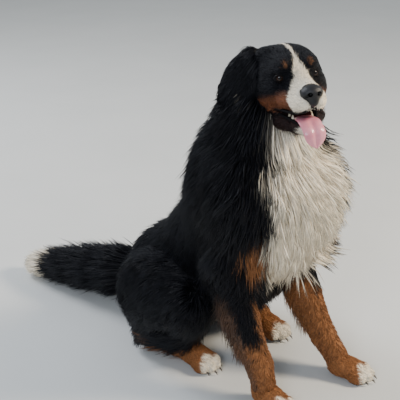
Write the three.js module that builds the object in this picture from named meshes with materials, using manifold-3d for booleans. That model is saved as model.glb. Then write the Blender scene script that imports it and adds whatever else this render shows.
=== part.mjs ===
// A seated Bernese mountain dog as a life-size still model, in millimetres.
// +Z is up, -Y is the way the chest faces and +X is the dog's left side.
// Flesh is a set of named masses melted into one another. Each body part is a skin of triangles
// cast outwards from a line inside it onto those masses, and carries its coat as tapered locks.
import * as THREE from "three";
import Module from "manifold-3d";

const wasm = await Module();
wasm.setup();

// Driving sizes
const WITHERS = 660; // height at the withers of the standing dog, from which the rest is scaled
const SIZE = WITHERS / 660;
const GAP = 0.3; // between parts that touch
const SKULL_AT = [12, -146, 799]; // middle of the skull in the dog's frame
const HEAD_TURN = THREE.MathUtils.degToRad(-29.5); // towards the dog's right
const HEAD_TILT = THREE.MathUtils.degToRad(-4.5);
const HEAD_LIFT = THREE.MathUtils.degToRad(-11); // nose up
const SEAT_AT = [0, 222, 0]; // middle of the flat it sits on, which is the origin of the model
const CORE_FACE = 4; // coat that lies inside the solid core, over the skin
const CORE_LEG = 6;
const CORE_BACK = 13;
const CORE_RUFF = 22;
const CORE_TAIL = 18;

const COLOURS = {
  black: 0x15151a,
  tan: 0x9a5227,
  white: 0xe9e2d2,
  tongue: 0xd98a9c,
  nose: 0x26262a,
  eye: 0x2a160c,
};

const point = (x, y, z) => new THREE.Vector3(x, y, z).multiplyScalar(SIZE);
const unit = (x, y, z) => new THREE.Vector3(x, y, z).normalize();
const ease = (from, to, value) => THREE.MathUtils.smoothstep(value, from, to);
const mix = THREE.MathUtils.lerp;

// Masses: each is a function that gives a point's rough distance from the surface, negative inside

// An egg of three radii, pitched about the X axis and turned about Z, in radians.
function egg(centre, radii, pitch = 0, turn = 0) {
  const middle = point(...centre);
  const r = point(...radii);
  const back = new THREE.Quaternion().setFromEuler(new THREE.Euler(pitch, 0, turn, "ZYX")).invert();
  const p = new THREE.Vector3();
  return (at) => {
    p.copy(at).sub(middle).applyQuaternion(back);
    const k0 = Math.hypot(p.x / r.x, p.y / r.y, p.z / r.z);
    const k1 = Math.hypot(p.x / r.x ** 2, p.y / r.y ** 2, p.z / r.z ** 2);
    return k1 < 1e-9 ? -Math.min(r.x, r.y, r.z) : (k0 * (k0 - 1)) / k1;
  };
}

// A rod with round ends and a radius that changes along it.
function rod(from, to, radiusFrom, radiusTo) {
  const a = point(...from);
  const b = point(...to);
  const along = b.clone().sub(a);
  const p = new THREE.Vector3();
  return (at) => {
    p.copy(at).sub(a);
    const t = THREE.MathUtils.clamp(p.dot(along) / along.lengthSq(), 0, 1);
    return p.addScaledVector(along, -t).length() - mix(radiusFrom, radiusTo, t) * SIZE;
  };
}

// Masses melted together over a width.
function melt(width, ...masses) {
  return (at) =>
    masses.reduce((least, mass) => {
      const d = mass(at);
      const share = Math.max(width - Math.abs(least - d), 0) / width;
      return Math.min(least, d) - (share * share * width) / 4;
    }, 1e6);
}

const bothSides = (make) => [make(-1), make(1)];
const thicker = (mass, by) => (at) => mass(at) - (typeof by === "function" ? by(at) : by);

// The direction in which a mass's surface faces at a point.
function facing(mass, at) {
  const step = 1.5;
  const p = new THREE.Vector3();
  const depthAt = (x, y, z) => mass(p.set(x, y, z).multiplyScalar(step).add(at));
  const slope = (x, y, z) => depthAt(x, y, z) - depthAt(-x, -y, -z);
  return new THREE.Vector3(slope(1, 0, 0), slope(0, 1, 0), slope(0, 0, 1)).normalize();
}

// Where a ray from inside a mass leaves it.
function leaves(mass, from, direction) {
  const at = from.clone();
  for (let i = 0; i < 90; i++) {
    const d = mass(at);
    if (d > -0.05) break;
    at.addScaledVector(direction, Math.max(-d * 0.8, 0.3));
  }
  return at;
}

// Solids

function solidOf(vertices, triangles) {
  const mesh = new wasm.Mesh({
    numProp: 3,
    vertProperties: new Float32Array(vertices.flatMap((v) => [v.x, v.y, v.z])),
    triVerts: new Uint32Array(triangles.flat()),
  });
  return new wasm.Manifold(mesh);
}

function solidFromGeometry(geometry) {
  const places = new Map();
  const vertices = [];
  const position = geometry.getAttribute("position");
  const merged = [];
  for (let i = 0; i < position.count; i++) {
    const v = new THREE.Vector3().fromBufferAttribute(position, i);
    const key = [v.x, v.y, v.z].map((c) => Math.round(c * 1e3)).join();
    if (!places.has(key)) places.set(key, vertices.push(v) - 1);
    merged.push(places.get(key));
  }
  const order = geometry.index ? [...geometry.index.array].map((i) => merged[i]) : merged;
  const triangles = [];
  for (let i = 0; i < order.length; i += 3) {
    const [a, b, c] = order.slice(i, i + 3);
    if (a !== b && b !== c && a !== c) triangles.push([a, b, c]);
  }
  return solidOf(vertices, triangles);
}

// Rings of points, each with as many, closed by a point at either end.
function solidOfRings(rings, first, last) {
  const sides = rings[0].length;
  const vertices = [first, ...rings.flat(), last];
  const end = vertices.length - 1;
  const triangles = [];
  for (let s = 0; s < sides; s++) {
    const next = (s + 1) % sides;
    triangles.push([0, 1 + next, 1 + s]);
    for (let r = 0; r + 1 < rings.length; r++) {
      const a = 1 + r * sides;
      const b = a + sides;
      triangles.push([a + s, a + next, b + next], [a + s, b + next, b + s]);
    }
    triangles.push([end, end - sides + s, end - sides + next]);
  }
  const made = solidOf(vertices, triangles);
  return made.volume() > 0 ? made : solidOf(vertices, triangles.map(([a, b, c]) => [a, c, b]));
}

// The frame of a line at one place: the way along it, the side nearest to +X and the third way.
function frameOf(line, t) {
  const along = line.getTangentAt(t);
  const side = unit(1, 0, 0).addScaledVector(along, -along.x).normalize();
  return { at: line.getPointAt(t), along, side, up: new THREE.Vector3().crossVectors(along, side) };
}

function rayAround(frame, angle, tilt = 0) {
  const round = frame.side.clone().multiplyScalar(Math.cos(angle));
  round.addScaledVector(frame.up, Math.sin(angle));
  return round.multiplyScalar(Math.cos(tilt)).addScaledVector(frame.along, Math.sin(tilt));
}

// A skin cast from a line onto a mass, with domed ends, and swollen outwards by a little. steps
// counts its rings along the line.
function castSkin(line, steps, sides, mass, swell = 0, domes = 2) {
  const rings = [];
  const outwards = (from, way) => leaves(mass, from, way).addScaledVector(way, 1.4 * swell);
  const ring = (t, tilt) => {
    const frame = frameOf(line, t);
    const points = Array.from({ length: sides }, (_, s) =>
      outwards(frame.at, rayAround(frame, (2 * Math.PI * (s + 0.5)) / sides, tilt)),
    );
    rings.push(points);
  };
  for (let d = domes; d > 0; d--) ring(0, (-d * Math.PI) / 2 / (domes + 1));
  for (let i = 0; i <= steps; i++) ring(i / steps, 0);
  for (let d = 1; d <= domes; d++) ring(1, (d * Math.PI) / 2 / (domes + 1));
  const start = frameOf(line, 0);
  const stop = frameOf(line, 1);
  const first = outwards(start.at, start.along.clone().negate());
  return solidOfRings(rings, first, outwards(stop.at, stop.along));
}

const lineThrough = (...places) => new THREE.CatmullRomCurve3(places.map((p) => point(...p)));

// The half of space on one side of a plane, as far as the dog reaches.
function halfSpace(at, facingOut) {
  const reach = 2400;
  const box = new THREE.BoxGeometry(reach, reach, reach).translate(0, 0, -reach / 2);
  const turn = new THREE.Quaternion().setFromUnitVectors(unit(0, 0, 1), facingOut);
  return solidFromGeometry(box.applyQuaternion(turn).translate(at.x, at.y, at.z));
}

// A solid parted by a plane: what lies behind it and what lies ahead, half a gap away from it.
function part(solid, at, facingOut) {
  const back = at.clone().addScaledVector(facingOut, -GAP / 2);
  const ahead = at.clone().addScaledVector(facingOut, GAP / 2);
  return [
    solid.intersect(halfSpace(back, facingOut)),
    solid.intersect(halfSpace(ahead, facingOut.clone().negate())),
  ];
}

const largest = (solid) => solid.decompose().reduce((a, b) => (b.volume() > a.volume() ? b : a));
const joined = (solids) => wasm.Manifold.union(solids);

// Locks of the coat

// A seeded draw, so that every build is the same.
function draws(seed) {
  let state = seed;
  return (from, to) => {
    state = (state * 1664525 + 1013904223) % 4294967296;
    return mix(from, to, state / 4294967296);
  };
}

const LOCK_SHAPE = [
  // share of the length, of the width and of the lift at each ring
  [0, 0.7, -1],
  [0.3, 1, 0.25],
  [0.65, 0.72, 0.7],
  [1, 0, 1],
];

// A flat tapered lock that starts inside the core, rises out of it and bends along the coat's lie.
function lock(core, root, lie, { length, width, lift, thick = 7, sink = 12 }, swell) {
  const at = root.clone();
  const rings = [];
  const across = new THREE.Vector3().crossVectors(lie(root), facing(core, root)).normalize();
  let went = 0;
  let tip;
  for (const [share, spread, rise] of LOCK_SHAPE) {
    const last = at.clone();
    const out = facing(core, at);
    const way = lie(at).addScaledVector(out, -lie(at).dot(out)).normalize();
    at.addScaledVector(way, (share - went) * length);
    went = share;
    const height = rise < 0 ? -sink : rise * lift;
    const outNow = facing(core, at);
    outNow.addScaledVector(across, -outNow.dot(across)).normalize();
    for (let i = 0; i < 2; i++) at.addScaledVector(outNow, height - core(at));
    at.z = Math.max(at.z, thick / 2 + 1);
    const deep = thick * Math.max(spread, 0.3);
    const half = (width / 2) * spread;
    const halfSwollen = half + swell * (1 + (2 * half) / deep);
    const under = at.clone().addScaledVector(outNow, -deep / 2 - swell);
    if (spread === 0) tip = at.clone().addScaledVector(at.clone().sub(last).normalize(), 8 * swell);
    else
      rings.push([
        under.clone().addScaledVector(across, halfSwollen),
        under.clone().addScaledVector(outNow, deep + 2 * swell),
        under.clone().addScaledVector(across, -halfSwollen),
      ]);
  }
  const back = rings[0][1].clone().sub(rings[1][1]).normalize();
  rings[0].forEach((p) => p.addScaledVector(back, 4 * swell));
  const rootMiddle = rings[0].reduce((sum, p) => sum.add(p), new THREE.Vector3()).divideScalar(3);
  return solidOfRings(rings, rootMiddle, tip);
}

// Staggered rows of locks round a line. Each row says where it is, its first and last angle and its
// count. Roots that another mass covers are left out.
function lockRows({ line, core, over = core, rows, lie, size, seed, covered = () => false }, swell) {
  const draw = draws(seed);
  return rows.flatMap(([t, from, to, count], row) =>
    Array.from({ length: count }, (_, i) => {
      const share = (i + (row % 2 ? 0.75 : 0.25)) / count;
      const angle = THREE.MathUtils.degToRad(mix(from, to, share) + draw(-3, 3));
      const frame = frameOf(line, THREE.MathUtils.clamp(t + draw(-0.008, 0.008), 0, 1));
      const root = leaves(core, frame.at, rayAround(frame, angle));
      const own = typeof size === "function" ? size(root) : size;
      const length = own.length * draw(0.88, 1.12);
      const width = own.width * draw(0.92, 1.08);
      return covered(root) ? null : lock(over, root, lie, { ...own, length, width }, swell);
    }).filter(Boolean),
  );
}

// Trunk and neck

const RIB_SLOPE = THREE.MathUtils.degToRad(30);
const LOIN_SLOPE = THREE.MathUtils.degToRad(42);
const trunkMasses = [
  egg([0, -45, 450], [122, 128, 205], RIB_SLOPE),
  egg([0, -22, 570], [62, 62, 78]), // withers
  egg([0, -118, 470], [92, 82, 122]), // forechest
  egg([0, 78, 312], [108, 112, 170], LOIN_SLOPE),
  egg([0, 212, 165], [118, 133, 138]), // croup
  egg([0, 222, 84], [104, 112, 96]), // seat
  ...bothSides((s) => egg([s * 90, -98 - s * 12, 470], [50, 74, 125], 0.25)), // shoulders
];
const neckMasses = [
  rod([0, -54, 560], [4, -96, 700], 106, 80),
  rod([4, -96, 700], [8, -110, 752], 80, 64),
];
const trunkSkin = melt(55, ...trunkMasses, ...neckMasses);
const coreDepth = (at) => {
  const ruff = Math.max(ease(470, 600, at.z), ease(-60, -150, at.y) * ease(250, 380, at.z));
  return mix(mix(CORE_BACK, CORE_RUFF, ruff), CORE_FACE + 4, ease(690, 770, at.z));
};
const trunkCore = thicker(trunkSkin, coreDepth);
const TRUNK_LINE = lineThrough(
  [0, 236, 105],
  [0, 205, 170],
  [0, 105, 290],
  [0, 0, 400],
  [0, -70, 500],
  [0, -76, 590],
  [4, -90, 690],
  [8, -105, 748],
);

// Trunk hair runs down and back, and the bib's hair falls and fans out, more to the left side.
const trunkLie = (at) => {
  const bib = ease(-90, -170, at.y);
  return unit(mix(at.x * 0.0016, at.x * 0.0042 + 0.16, bib), mix(0.42, -0.12, bib), -1);
};

// Legs: each is a chain of rods through its joints, with a core of short coat

const RIGHT_FORELEG = {
  elbow: [-112, -92, 330],
  forearm: [-108, -140, 215],
  wrist: [-100, -188, 108],
  pastern: [-99, -200, 60],
};
const LEFT_FORELEG = {
  elbow: [112, -98, 325],
  forearm: [114, -152, 212],
  wrist: [121, -214, 104],
  pastern: [130, -246, 60],
};
const forelegJoints = (s) => (s < 0 ? RIGHT_FORELEG : LEFT_FORELEG);
const forelegSkin = (s) => {
  const { elbow, forearm, wrist, pastern } = forelegJoints(s);
  return melt(
    14,
    egg(elbow, [44, 50, 56]),
    rod(elbow, forearm, 46, 36),
    rod(forearm, wrist, 36, 29),
    rod(wrist, pastern, 30, 29),
  );
};
const thighSkin = (s) => {
  const ham = egg([s * 128, 140, 160], [58, 136, 112], 0.12);
  return melt(30, ham, rod([s * 128, 90, 190], [s * 150, 14, 208], 72, 48));
};
const hindJoints = (s) =>
  s < 0
    ? { knee: [-152, 12, 190], hock: [-140, 178, 34], foot: [-112, 62, 26] }
    : { knee: [152, 12, 190], hock: [142, 182, 34], foot: [150, 40, 26] };
const shankSkin = (s) => {
  const { knee, hock, foot } = hindJoints(s);
  return melt(14, rod(knee, hock, 42, 26), rod(hock, foot, 27, 25));
};
const legCores = bothSides((s) => ({
  foreleg: thicker(forelegSkin(s), CORE_LEG),
  thigh: thicker(thighSkin(s), CORE_BACK),
  shank: thicker(shankSkin(s), CORE_LEG),
}));
const thighs = legCores.map((leg) => leg.thigh);
const forelegs = legCores.map((leg) => leg.foreleg);
const overTrunk = melt(24, trunkCore, ...thighs, ...forelegs);

const trunkCoat = {
  line: TRUNK_LINE,
  core: trunkCore,
  over: overTrunk,
  lie: trunkLie,
  covered: (root) => [...thighs, ...forelegs].some((mass) => mass(root) < 12),
};
// Length, width and rise of the coat at a place on the trunk, longest on the bib and the ruff.
const trunkHair = (at) => {
  const bib = ease(-90, -170, at.y) * ease(640, 560, at.z);
  const leftBib = bib * ease(20, 110, at.x);
  const ruff = ease(520, 620, at.z);
  return {
    length: 112 + 26 * Math.max(bib, ruff) + 20 * bib * ease(420, 360, at.z),
    width: 66,
    lift: 19 + 5 * ruff + 16 * bib + 26 * leftBib,
  };
};

const TRUNK_STEPS = 13;
const TRUNK_SIDES = 16;
const FLOOR = point(0, 0, 0);
const aboveFloor = (solid) => solid.intersect(halfSpace(FLOOR, unit(0, 0, -1)));
const NECK_CUT = [point(0, -80, 640), unit(0, -0.28, 1)];
const BIB_CUT = [point(0, -132, 470), unit(0, -1, -0.04)];
const CHEST_CUT = [point(0, 15, 400), unit(0, -0.7, 0.72)];
const RUMP_CUT = [point(0, 120, 272), unit(0, -0.72, 0.69)];

function trunkParts(swell) {
  const whole = castSkin(TRUNK_LINE, TRUNK_STEPS, TRUNK_SIDES, trunkCore, swell);
  const [hind, fore] = part(whole, ...CHEST_CUT);
  const [collar, bib] = part(fore, ...BIB_CUT);
  const [chest, neck] = part(collar, ...NECK_CUT);
  const [rump, loin] = part(hind, ...RUMP_CUT);
  return { neck, bib, chest, loin, rump };
}

// Rows by the trunk part that they are rooted in: place along the line, angles from the left side
// over the front to the right side and back, and how many.
const TRUNK_ROWS = {
  neck: {
    seed: 11,
    rows: [
      [0.975, 0, 180, 4],
      [0.925, -25, 205, 5],
      [0.87, -36, 216, 6],
    ],
  },
  bib: {
    seed: 12,
    rows: [
      [0.9, 238, 302, 2],
      [0.84, 222, 318, 3],
      [0.77, 218, 322, 4],
      [0.7, 222, 318, 4],
      [0.63, 218, 322, 4],
      [0.56, 228, 312, 4],
      [0.5, 240, 300, 2],
    ],
  },
  chest: {
    seed: 13,
    rows: [
      [0.8, -30, 210, 6],
      [0.72, -34, 214, 6],
      [0.64, -34, 214, 6],
      [0.56, -20, 200, 6],
    ],
  },
  loin: {
    seed: 14,
    rows: [
      [0.48, -20, 200, 6],
      [0.4, -15, 195, 5],
      [0.33, 0, 180, 5],
    ],
  },
  rump: {
    seed: 15,
    rows: [
      [0.26, 20, 160, 4],
      [0.19, 20, 160, 4],
      [0.11, 25, 155, 4],
      [0.03, 25, 155, 4],
    ],
  },
};

function trunkLocks(name, swell) {
  return lockRows({ ...trunkCoat, ...TRUNK_ROWS[name], size: trunkHair }, swell);
}

function trunkNodes(swell) {
  const nodes = trunkParts(swell);
  for (const name in nodes) nodes[name] = joined([nodes[name], ...trunkLocks(name, swell)]);
  return nodes;
}

// The whole trunk with its locks, a gap larger all round, for cutting its neighbours clear of it.
function trunkSwollen() {
  const locks = Object.keys(TRUNK_ROWS).flatMap((name) => trunkLocks(name, GAP));
  return joined([castSkin(TRUNK_LINE, TRUNK_STEPS, TRUNK_SIDES, trunkCore, GAP), ...locks]);
}

// Tail: a tapering rod laid back on the floor, with its plume along it

const TAIL_ROOT = [-6, 318, 136];
const TAIL_MIDDLE = [-72, 555, 80];
const TAIL_END = [-130, 748, 36];
const TAIL_LINE = lineThrough(TAIL_ROOT, [-38, 440, 104], TAIL_MIDDLE, [-106, 665, 54], TAIL_END);
const tailSkin = melt(20, rod(TAIL_ROOT, TAIL_MIDDLE, 42, 24), rod(TAIL_MIDDLE, TAIL_END, 24, 12));
const tailCore = thicker(tailSkin, CORE_TAIL);
const TAIL_CUT = [point(-84, 594, 70), unit(-0.28, 0.94, -0.2)];
const tailLie = () => unit(-0.3, 0.94, -0.24);
const TAIL_ROWS = {
  tail: [
    [0.06, -40, 220, 5],
    [0.25, -50, 230, 5],
    [0.44, -40, 220, 5],
  ],
  tail_tip: [
    [0.68, -50, 230, 5],
    [0.86, -40, 220, 4],
  ],
};

function tailNodes(swell) {
  const [tail, tail_tip] = part(castSkin(TAIL_LINE, 8, 10, tailCore, swell), ...TAIL_CUT);
  const size = (at) => ({ length: 112, width: 50, lift: 14 + 20 * ease(50, 110, at.z) });
  const coat = { line: TAIL_LINE, core: tailCore, lie: tailLie, size };
  const locks = (name, seed) => lockRows({ ...coat, rows: TAIL_ROWS[name], seed }, swell);
  return {
    tail: joined([tail, ...locks("tail", 31)]),
    tail_tip: joined([tail_tip, ...locks("tail_tip", 32)]),
  };
}

// Feathers behind the forearms, and the hair of the thighs
const FEATHERS = {
  rows: [
    [0.14, 235, 305, 2],
    [0.34, 235, 305, 2],
    [0.54, 250, 290, 1],
  ],
  lie: () => unit(0, 0.5, -0.86),
  size: { length: 74, width: 34, lift: 22, thick: 6, sink: 10 },
};
const THIGH_HAIR = { length: 92, width: 60, lift: 16 };
const THIGH_ROWS = [
  [0.15, -50, 80, 3],
  [0.5, -60, 80, 3],
  [0.85, -60, 80, 3],
];

// Paws: a pad with four toes and their claws, modelled pointing along -Y with its sole at z = 0

const TOES = [
  [-27, -40],
  [-10, -54],
  [10, -54],
  [27, -40],
];
function paw(swell) {
  const toes = TOES.map(([x, y]) => egg([x, y, 17], [12.5, 24, 17]));
  const skin = melt(9, egg([0, -8, 27], [34, 46, 27]), rod([0, 14, 34], [0, 20, 52], 30, 28), ...toes);
  const body = castSkin(lineThrough([0, 14, 30], [0, -44, 17]), 5, 12, thicker(skin, 4), swell, 1);
  const claws = TOES.map(([x, y]) => {
    const claw = new THREE.ConeGeometry(4 + swell, 22 + swell, 4).rotateX(-Math.PI / 2 - 0.42);
    return solidFromGeometry(claw.translate(x, y - 29, 9).scale(SIZE, SIZE, SIZE));
  });
  return aboveFloor(joined([body, ...claws]));
}

const geometryOf = (solid) => {
  const { vertProperties, triVerts, numProp } = solid.getMesh();
  const count = vertProperties.length / numProp;
  const flat = new Float32Array(count * 3);
  for (let i = 0; i < count; i++) {
    const corner = i * numProp;
    flat.set(vertProperties.subarray(corner, corner + 3), i * 3);
  }
  return new THREE.BufferGeometry()
    .setAttribute("position", new THREE.BufferAttribute(flat, 3))
    .setIndex([...triVerts]);
};
const moved = (solid, matrix) => solidFromGeometry(geometryOf(solid).applyMatrix4(matrix));
const placed = (x, y, z, turn = 0, tilt = 0, lift = 0) =>
  new THREE.Matrix4().compose(
    point(x, y, z),
    new THREE.Quaternion().setFromEuler(new THREE.Euler(lift, tilt, turn, "ZYX")),
    new THREE.Vector3(1, 1, 1),
  );
const PAW_PLACES = {
  forepaw_right: placed(-98, -218, 0, -0.06),
  forepaw_left: placed(139, -272, 0, 0.42),
  hindpaw_right: placed(-104, 40, 0, 0.12),
  hindpaw_left: placed(151, 14, 0, 0.1),
};

// Head, in its own frame: the skull's middle is the origin and the nose points along -Y

const HEAD = placed(...SKULL_AT, HEAD_TURN, HEAD_TILT, HEAD_LIFT);
const skullSkin = melt(
  14,
  egg([0, 4, 21], [71, 86, 57]), // cranium
  ...bothSides((s) => egg([s * 46, -18, -18], [33, 52, 42])), // cheeks
  ...bothSides((s) => egg([s * 27, -60, 36], [24, 26, 18])), // brows
  egg([0, -62, 0], [33, 42, 34]),
  rod([0, -82, -14], [0, -140, -20], 30, 24), // bridge of the muzzle
  ...bothSides((s) => egg([s * 17, -116, -36], [23, 42, 25])), // flews
);
const skullCore = thicker(skullSkin, CORE_FACE);
const SKULL_LINE = lineThrough([0, 40, 8], [0, -30, 4], [0, -90, -14], [0, -138, -26]);
const jawSkin = melt(
  12,
  rod([0, 0, -60], [0, -66, -86], 40, 27),
  rod([0, -66, -86], [0, -112, -103], 27, 17),
  ...bothSides((s) => egg([s * 33, -18, -60], [24, 40, 30], 0.3)),
);
const jawCore = thicker(jawSkin, CORE_FACE);
const JAW_LINE = lineThrough([0, -4, -62], [0, -56, -82], [0, -110, -102]);
const EYE_AT = [38, -64, 13];
const EYE_RADIUS = 12;
const EYE_LOOKS = 0.42; // turned outwards from straight ahead, in radians

const eyeball = (s, swell) => {
  const ball = new THREE.SphereGeometry(EYE_RADIUS * SIZE + swell, 12, 8);
  return solidFromGeometry(ball.translate(...point(s * EYE_AT[0], EYE_AT[1], EYE_AT[2])));
};
const lids = (s) => {
  const ring = new THREE.TorusGeometry((EYE_RADIUS + 1) * SIZE, 4 * SIZE, 5, 10).scale(1.1, 0.82, 1);
  ring.translate(0, 0, 5.5).rotateX(Math.PI / 2).rotateZ(s * EYE_LOOKS);
  return solidFromGeometry(ring.translate(...point(s * EYE_AT[0], EYE_AT[1], EYE_AT[2])));
};

function nose(swell) {
  const leather = melt(6, egg([0, -152, -17], [20, 17, 15]), egg([0, -158, -30], [9, 10, 14]));
  const line = lineThrough([0, -146, -18], [0, -158, -20]);
  const pad = castSkin(line, 3, 12, thicker(leather, 1), swell, 1);
  if (swell) return pad;
  const nostrils = bothSides((s) => {
    const hole = new THREE.SphereGeometry(1, 8, 6).scale(4.6, 8, 4).rotateZ(s * 0.5);
    return solidFromGeometry(hole.translate(s * 9, -170, -19).scale(SIZE, SIZE, SIZE));
  });
  return pad.subtract(joined(nostrils));
}

// The tongue rests in the jaw, turns over the lower lip and hangs, with a furrow down its middle.
function tongue(swell) {
  const line = lineThrough(
    [0, -44, -76],
    [0, -90, -85],
    [1, -122, -91],
    [3, -140, -106],
    [5, -139, -138],
  );
  const rings = [];
  const STEPS = 9;
  const SIDES = 10;
  for (let i = 0; i < STEPS; i++) {
    const t = (i + 0.25) / (STEPS - 0.35);
    const frame = frameOf(line, t);
    const half = (18 + 7 * ease(0, 0.6, t)) * Math.sqrt(1 - ease(0.8, 1.04, t) ** 2);
    const ring = Array.from({ length: SIDES }, (_, s) => {
      const angle = (2 * Math.PI * (s + 0.5)) / SIDES;
      const furrow = 2.6 * Math.exp(-((Math.cos(angle) * 3.2) ** 2)) * (Math.sin(angle) < 0 ? 1 : 0);
      const height = 4.6 * Math.sin(angle) + furrow + swell * Math.sign(Math.sin(angle));
      return frame.at
        .clone()
        .addScaledVector(frame.side, (half * SIZE + swell) * Math.cos(angle))
        .addScaledVector(frame.up, height * SIZE);
    });
    rings.push(ring);
  }
  const start = frameOf(line, 0).at.addScaledVector(frameOf(line, 0).along, -swell);
  return solidOfRings(rings, start, line.getPointAt(1).addScaledVector(line.getTangentAt(1), swell));
}

// Lower teeth: a canine and five cheek teeth on each side, and small incisors between them.
function lowerTeeth() {
  const tooth = (x, y, z, radius, height) => {
    const cone = new THREE.ConeGeometry(radius, height, 5).rotateX(Math.PI / 2);
    return solidFromGeometry(cone.translate(x, y, z + height / 2 - 5).scale(SIZE, SIZE, SIZE));
  };
  const row = bothSides((s) => [
    tooth(s * 15, -121, -92, 4.6, 19),
    ...[0, 1, 2, 3, 4].map((i) => tooth(s * (18 + i * 1.6), -108 + i * 13, -88 + i * 5.2, 5 + i * 0.4, 13)),
    tooth(s * 7, -129, -94, 3.4, 12),
  ]);
  return row.flat();
}

// Ears: hanging flaps modelled as the left one, whose root is the origin, whose tip is down -Z, and
// whose outer face looks along +X. Both are laid back over the ruff.

function earPlace(at, tip, facing) {
  const up = tip.clone().negate();
  const across = new THREE.Vector3().crossVectors(up, facing).normalize();
  const out = new THREE.Vector3().crossVectors(across, up);
  return new THREE.Matrix4().makeBasis(out, across, up).setPosition(point(...at));
}
const EAR_PLACES = {
  ear_right: earPlace([-60, 6, 56], unit(-0.6, 0.25, -0.78), unit(-0.62, -0.7, 0.25)),
  ear_left: earPlace([58, 34, 42], unit(0.22, 0.4, -0.9), unit(0.95, 0.22, 0.2)),
};
const EAR_RADII = [16, 46, 70];
const EAR_ROWS = [
  [0.3, -50, 50, 1],
  [0.66, -65, 65, 2],
];

function ear(swell) {
  const flap = melt(12, egg([0, 0, -56], EAR_RADII), egg([-4, 0, -6], [15, 36, 22]));
  const cup = egg([-13, 0, -56], [EAR_RADII[0] - 2, EAR_RADII[1] - 9, EAR_RADII[2] - 16]);
  const line = lineThrough([0, 0, -4], [0, 0, -104]);
  const outer = castSkin(line, 6, 12, flap, swell);
  const inner = castSkin(lineThrough([-13, 0, -20], [-13, 0, -92]), 4, 8, cup, -swell, 1);
  const size = { length: 62, width: 36, lift: 9, thick: 6, sink: 6 };
  const coat = { line, core: flap, rows: EAR_ROWS, lie: () => unit(0, 0, -1), size, seed: 43 };
  return joined([outer.subtract(inner), ...lockRows(coat, swell)]);
}

const SKULL_STEPS = 11;
const SKULL_SIDES = 18;
function headNode() {
  const whole = castSkin(SKULL_LINE, SKULL_STEPS, SKULL_SIDES, skullCore);
  const room = egg([0, -86, -64], [27, 60, 24]);
  const mouth = castSkin(lineThrough([0, -60, -62], [0, -110, -64]), 4, 12, room);
  const eyes = bothSides((s) => eyeball(s, GAP));
  return joined([whole.subtract(mouth), ...bothSides(lids)]).subtract(joined([...eyes, nose(GAP)]));
}

// Putting the dog together: each part is cut clear of the parts that are finished before it

const clear = (solid, ...others) => largest(others.reduce((left, other) => left.subtract(other), solid));
const skullSwollen = castSkin(SKULL_LINE, SKULL_STEPS, SKULL_SIDES, skullCore, GAP);
const tongueSwollen = tongue(GAP);

const headSolids = {
  tongue: tongue(0),
  nose: nose(0),
  eye_right: eyeball(-1, 0),
  eye_left: eyeball(1, 0),
};
headSolids.head = clear(headNode(), tongueSwollen);
const jawWhole = castSkin(JAW_LINE, 7, 12, jawCore);
const troughRoom = egg([0, -80, -78], [15, 56, 10], -0.28);
const trough = castSkin(lineThrough([0, -50, -72], [0, -104, -90]), 4, 8, troughRoom);
const jawWithTeeth = joined([jawWhole.subtract(trough), ...lowerTeeth()]);
headSolids.jaw = clear(jawWithTeeth, skullSwollen, tongueSwollen);
bothSides((s) => {
  const name = s < 0 ? "ear_right" : "ear_left";
  headSolids[name] = clear(moved(ear(0), EAR_PLACES[name]), skullSwollen);
});

const jawSwollen = castSkin(JAW_LINE, 7, 12, jawCore, GAP);
const trunk = trunkNodes(0);
const swollen = trunkNodes(GAP);
const trunkAll = aboveFloor(trunkSwollen());
const earsSwollen = Object.values(EAR_PLACES).map((place) => moved(ear(GAP), place));
const headSwollen = [skullSwollen, jawSwollen, tongueSwollen, ...earsSwollen];
const inDog = headSwollen.map((solid) => moved(solid, HEAD));

const solids = {};
solids.neck = clear(trunk.neck, ...inDog);
solids.bib = clear(trunk.bib, swollen.neck, ...inDog);
solids.chest = clear(trunk.chest, swollen.neck, swollen.bib);
solids.loin = clear(trunk.loin, swollen.chest, swollen.bib);
solids.rump = clear(aboveFloor(trunk.rump), swollen.loin, swollen.chest);
const tails = tailNodes(0);
const tailSwollen = tailNodes(GAP);
solids.tail_tip = clear(aboveFloor(tails.tail_tip), tailSwollen.tail);
solids.tail = clear(aboveFloor(tails.tail), trunkAll);

// A thigh, with its rows of locks on its outer side, swollen by a little.
function thigh(s, swell) {
  const core = legCores[s < 0 ? 0 : 1].thigh;
  const line = lineThrough([s * 118, 220, 150], [s * 130, 120, 172], [s * 148, 24, 205]);
  const rows = THIGH_ROWS.map(([t, from, to, count]) =>
    s < 0 ? [t, 180 - to, 180 - from, count] : [t, from, to, count],
  );
  const coat = {
    line,
    core,
    over: overTrunk,
    rows,
    lie: trunkLie,
    size: THIGH_HAIR,
    seed: 65 + s,
    covered: (root) => trunkCore(root) < 8,
  };
  return joined([castSkin(line, 6, 12, core, swell), ...lockRows(coat, swell)]);
}

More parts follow.
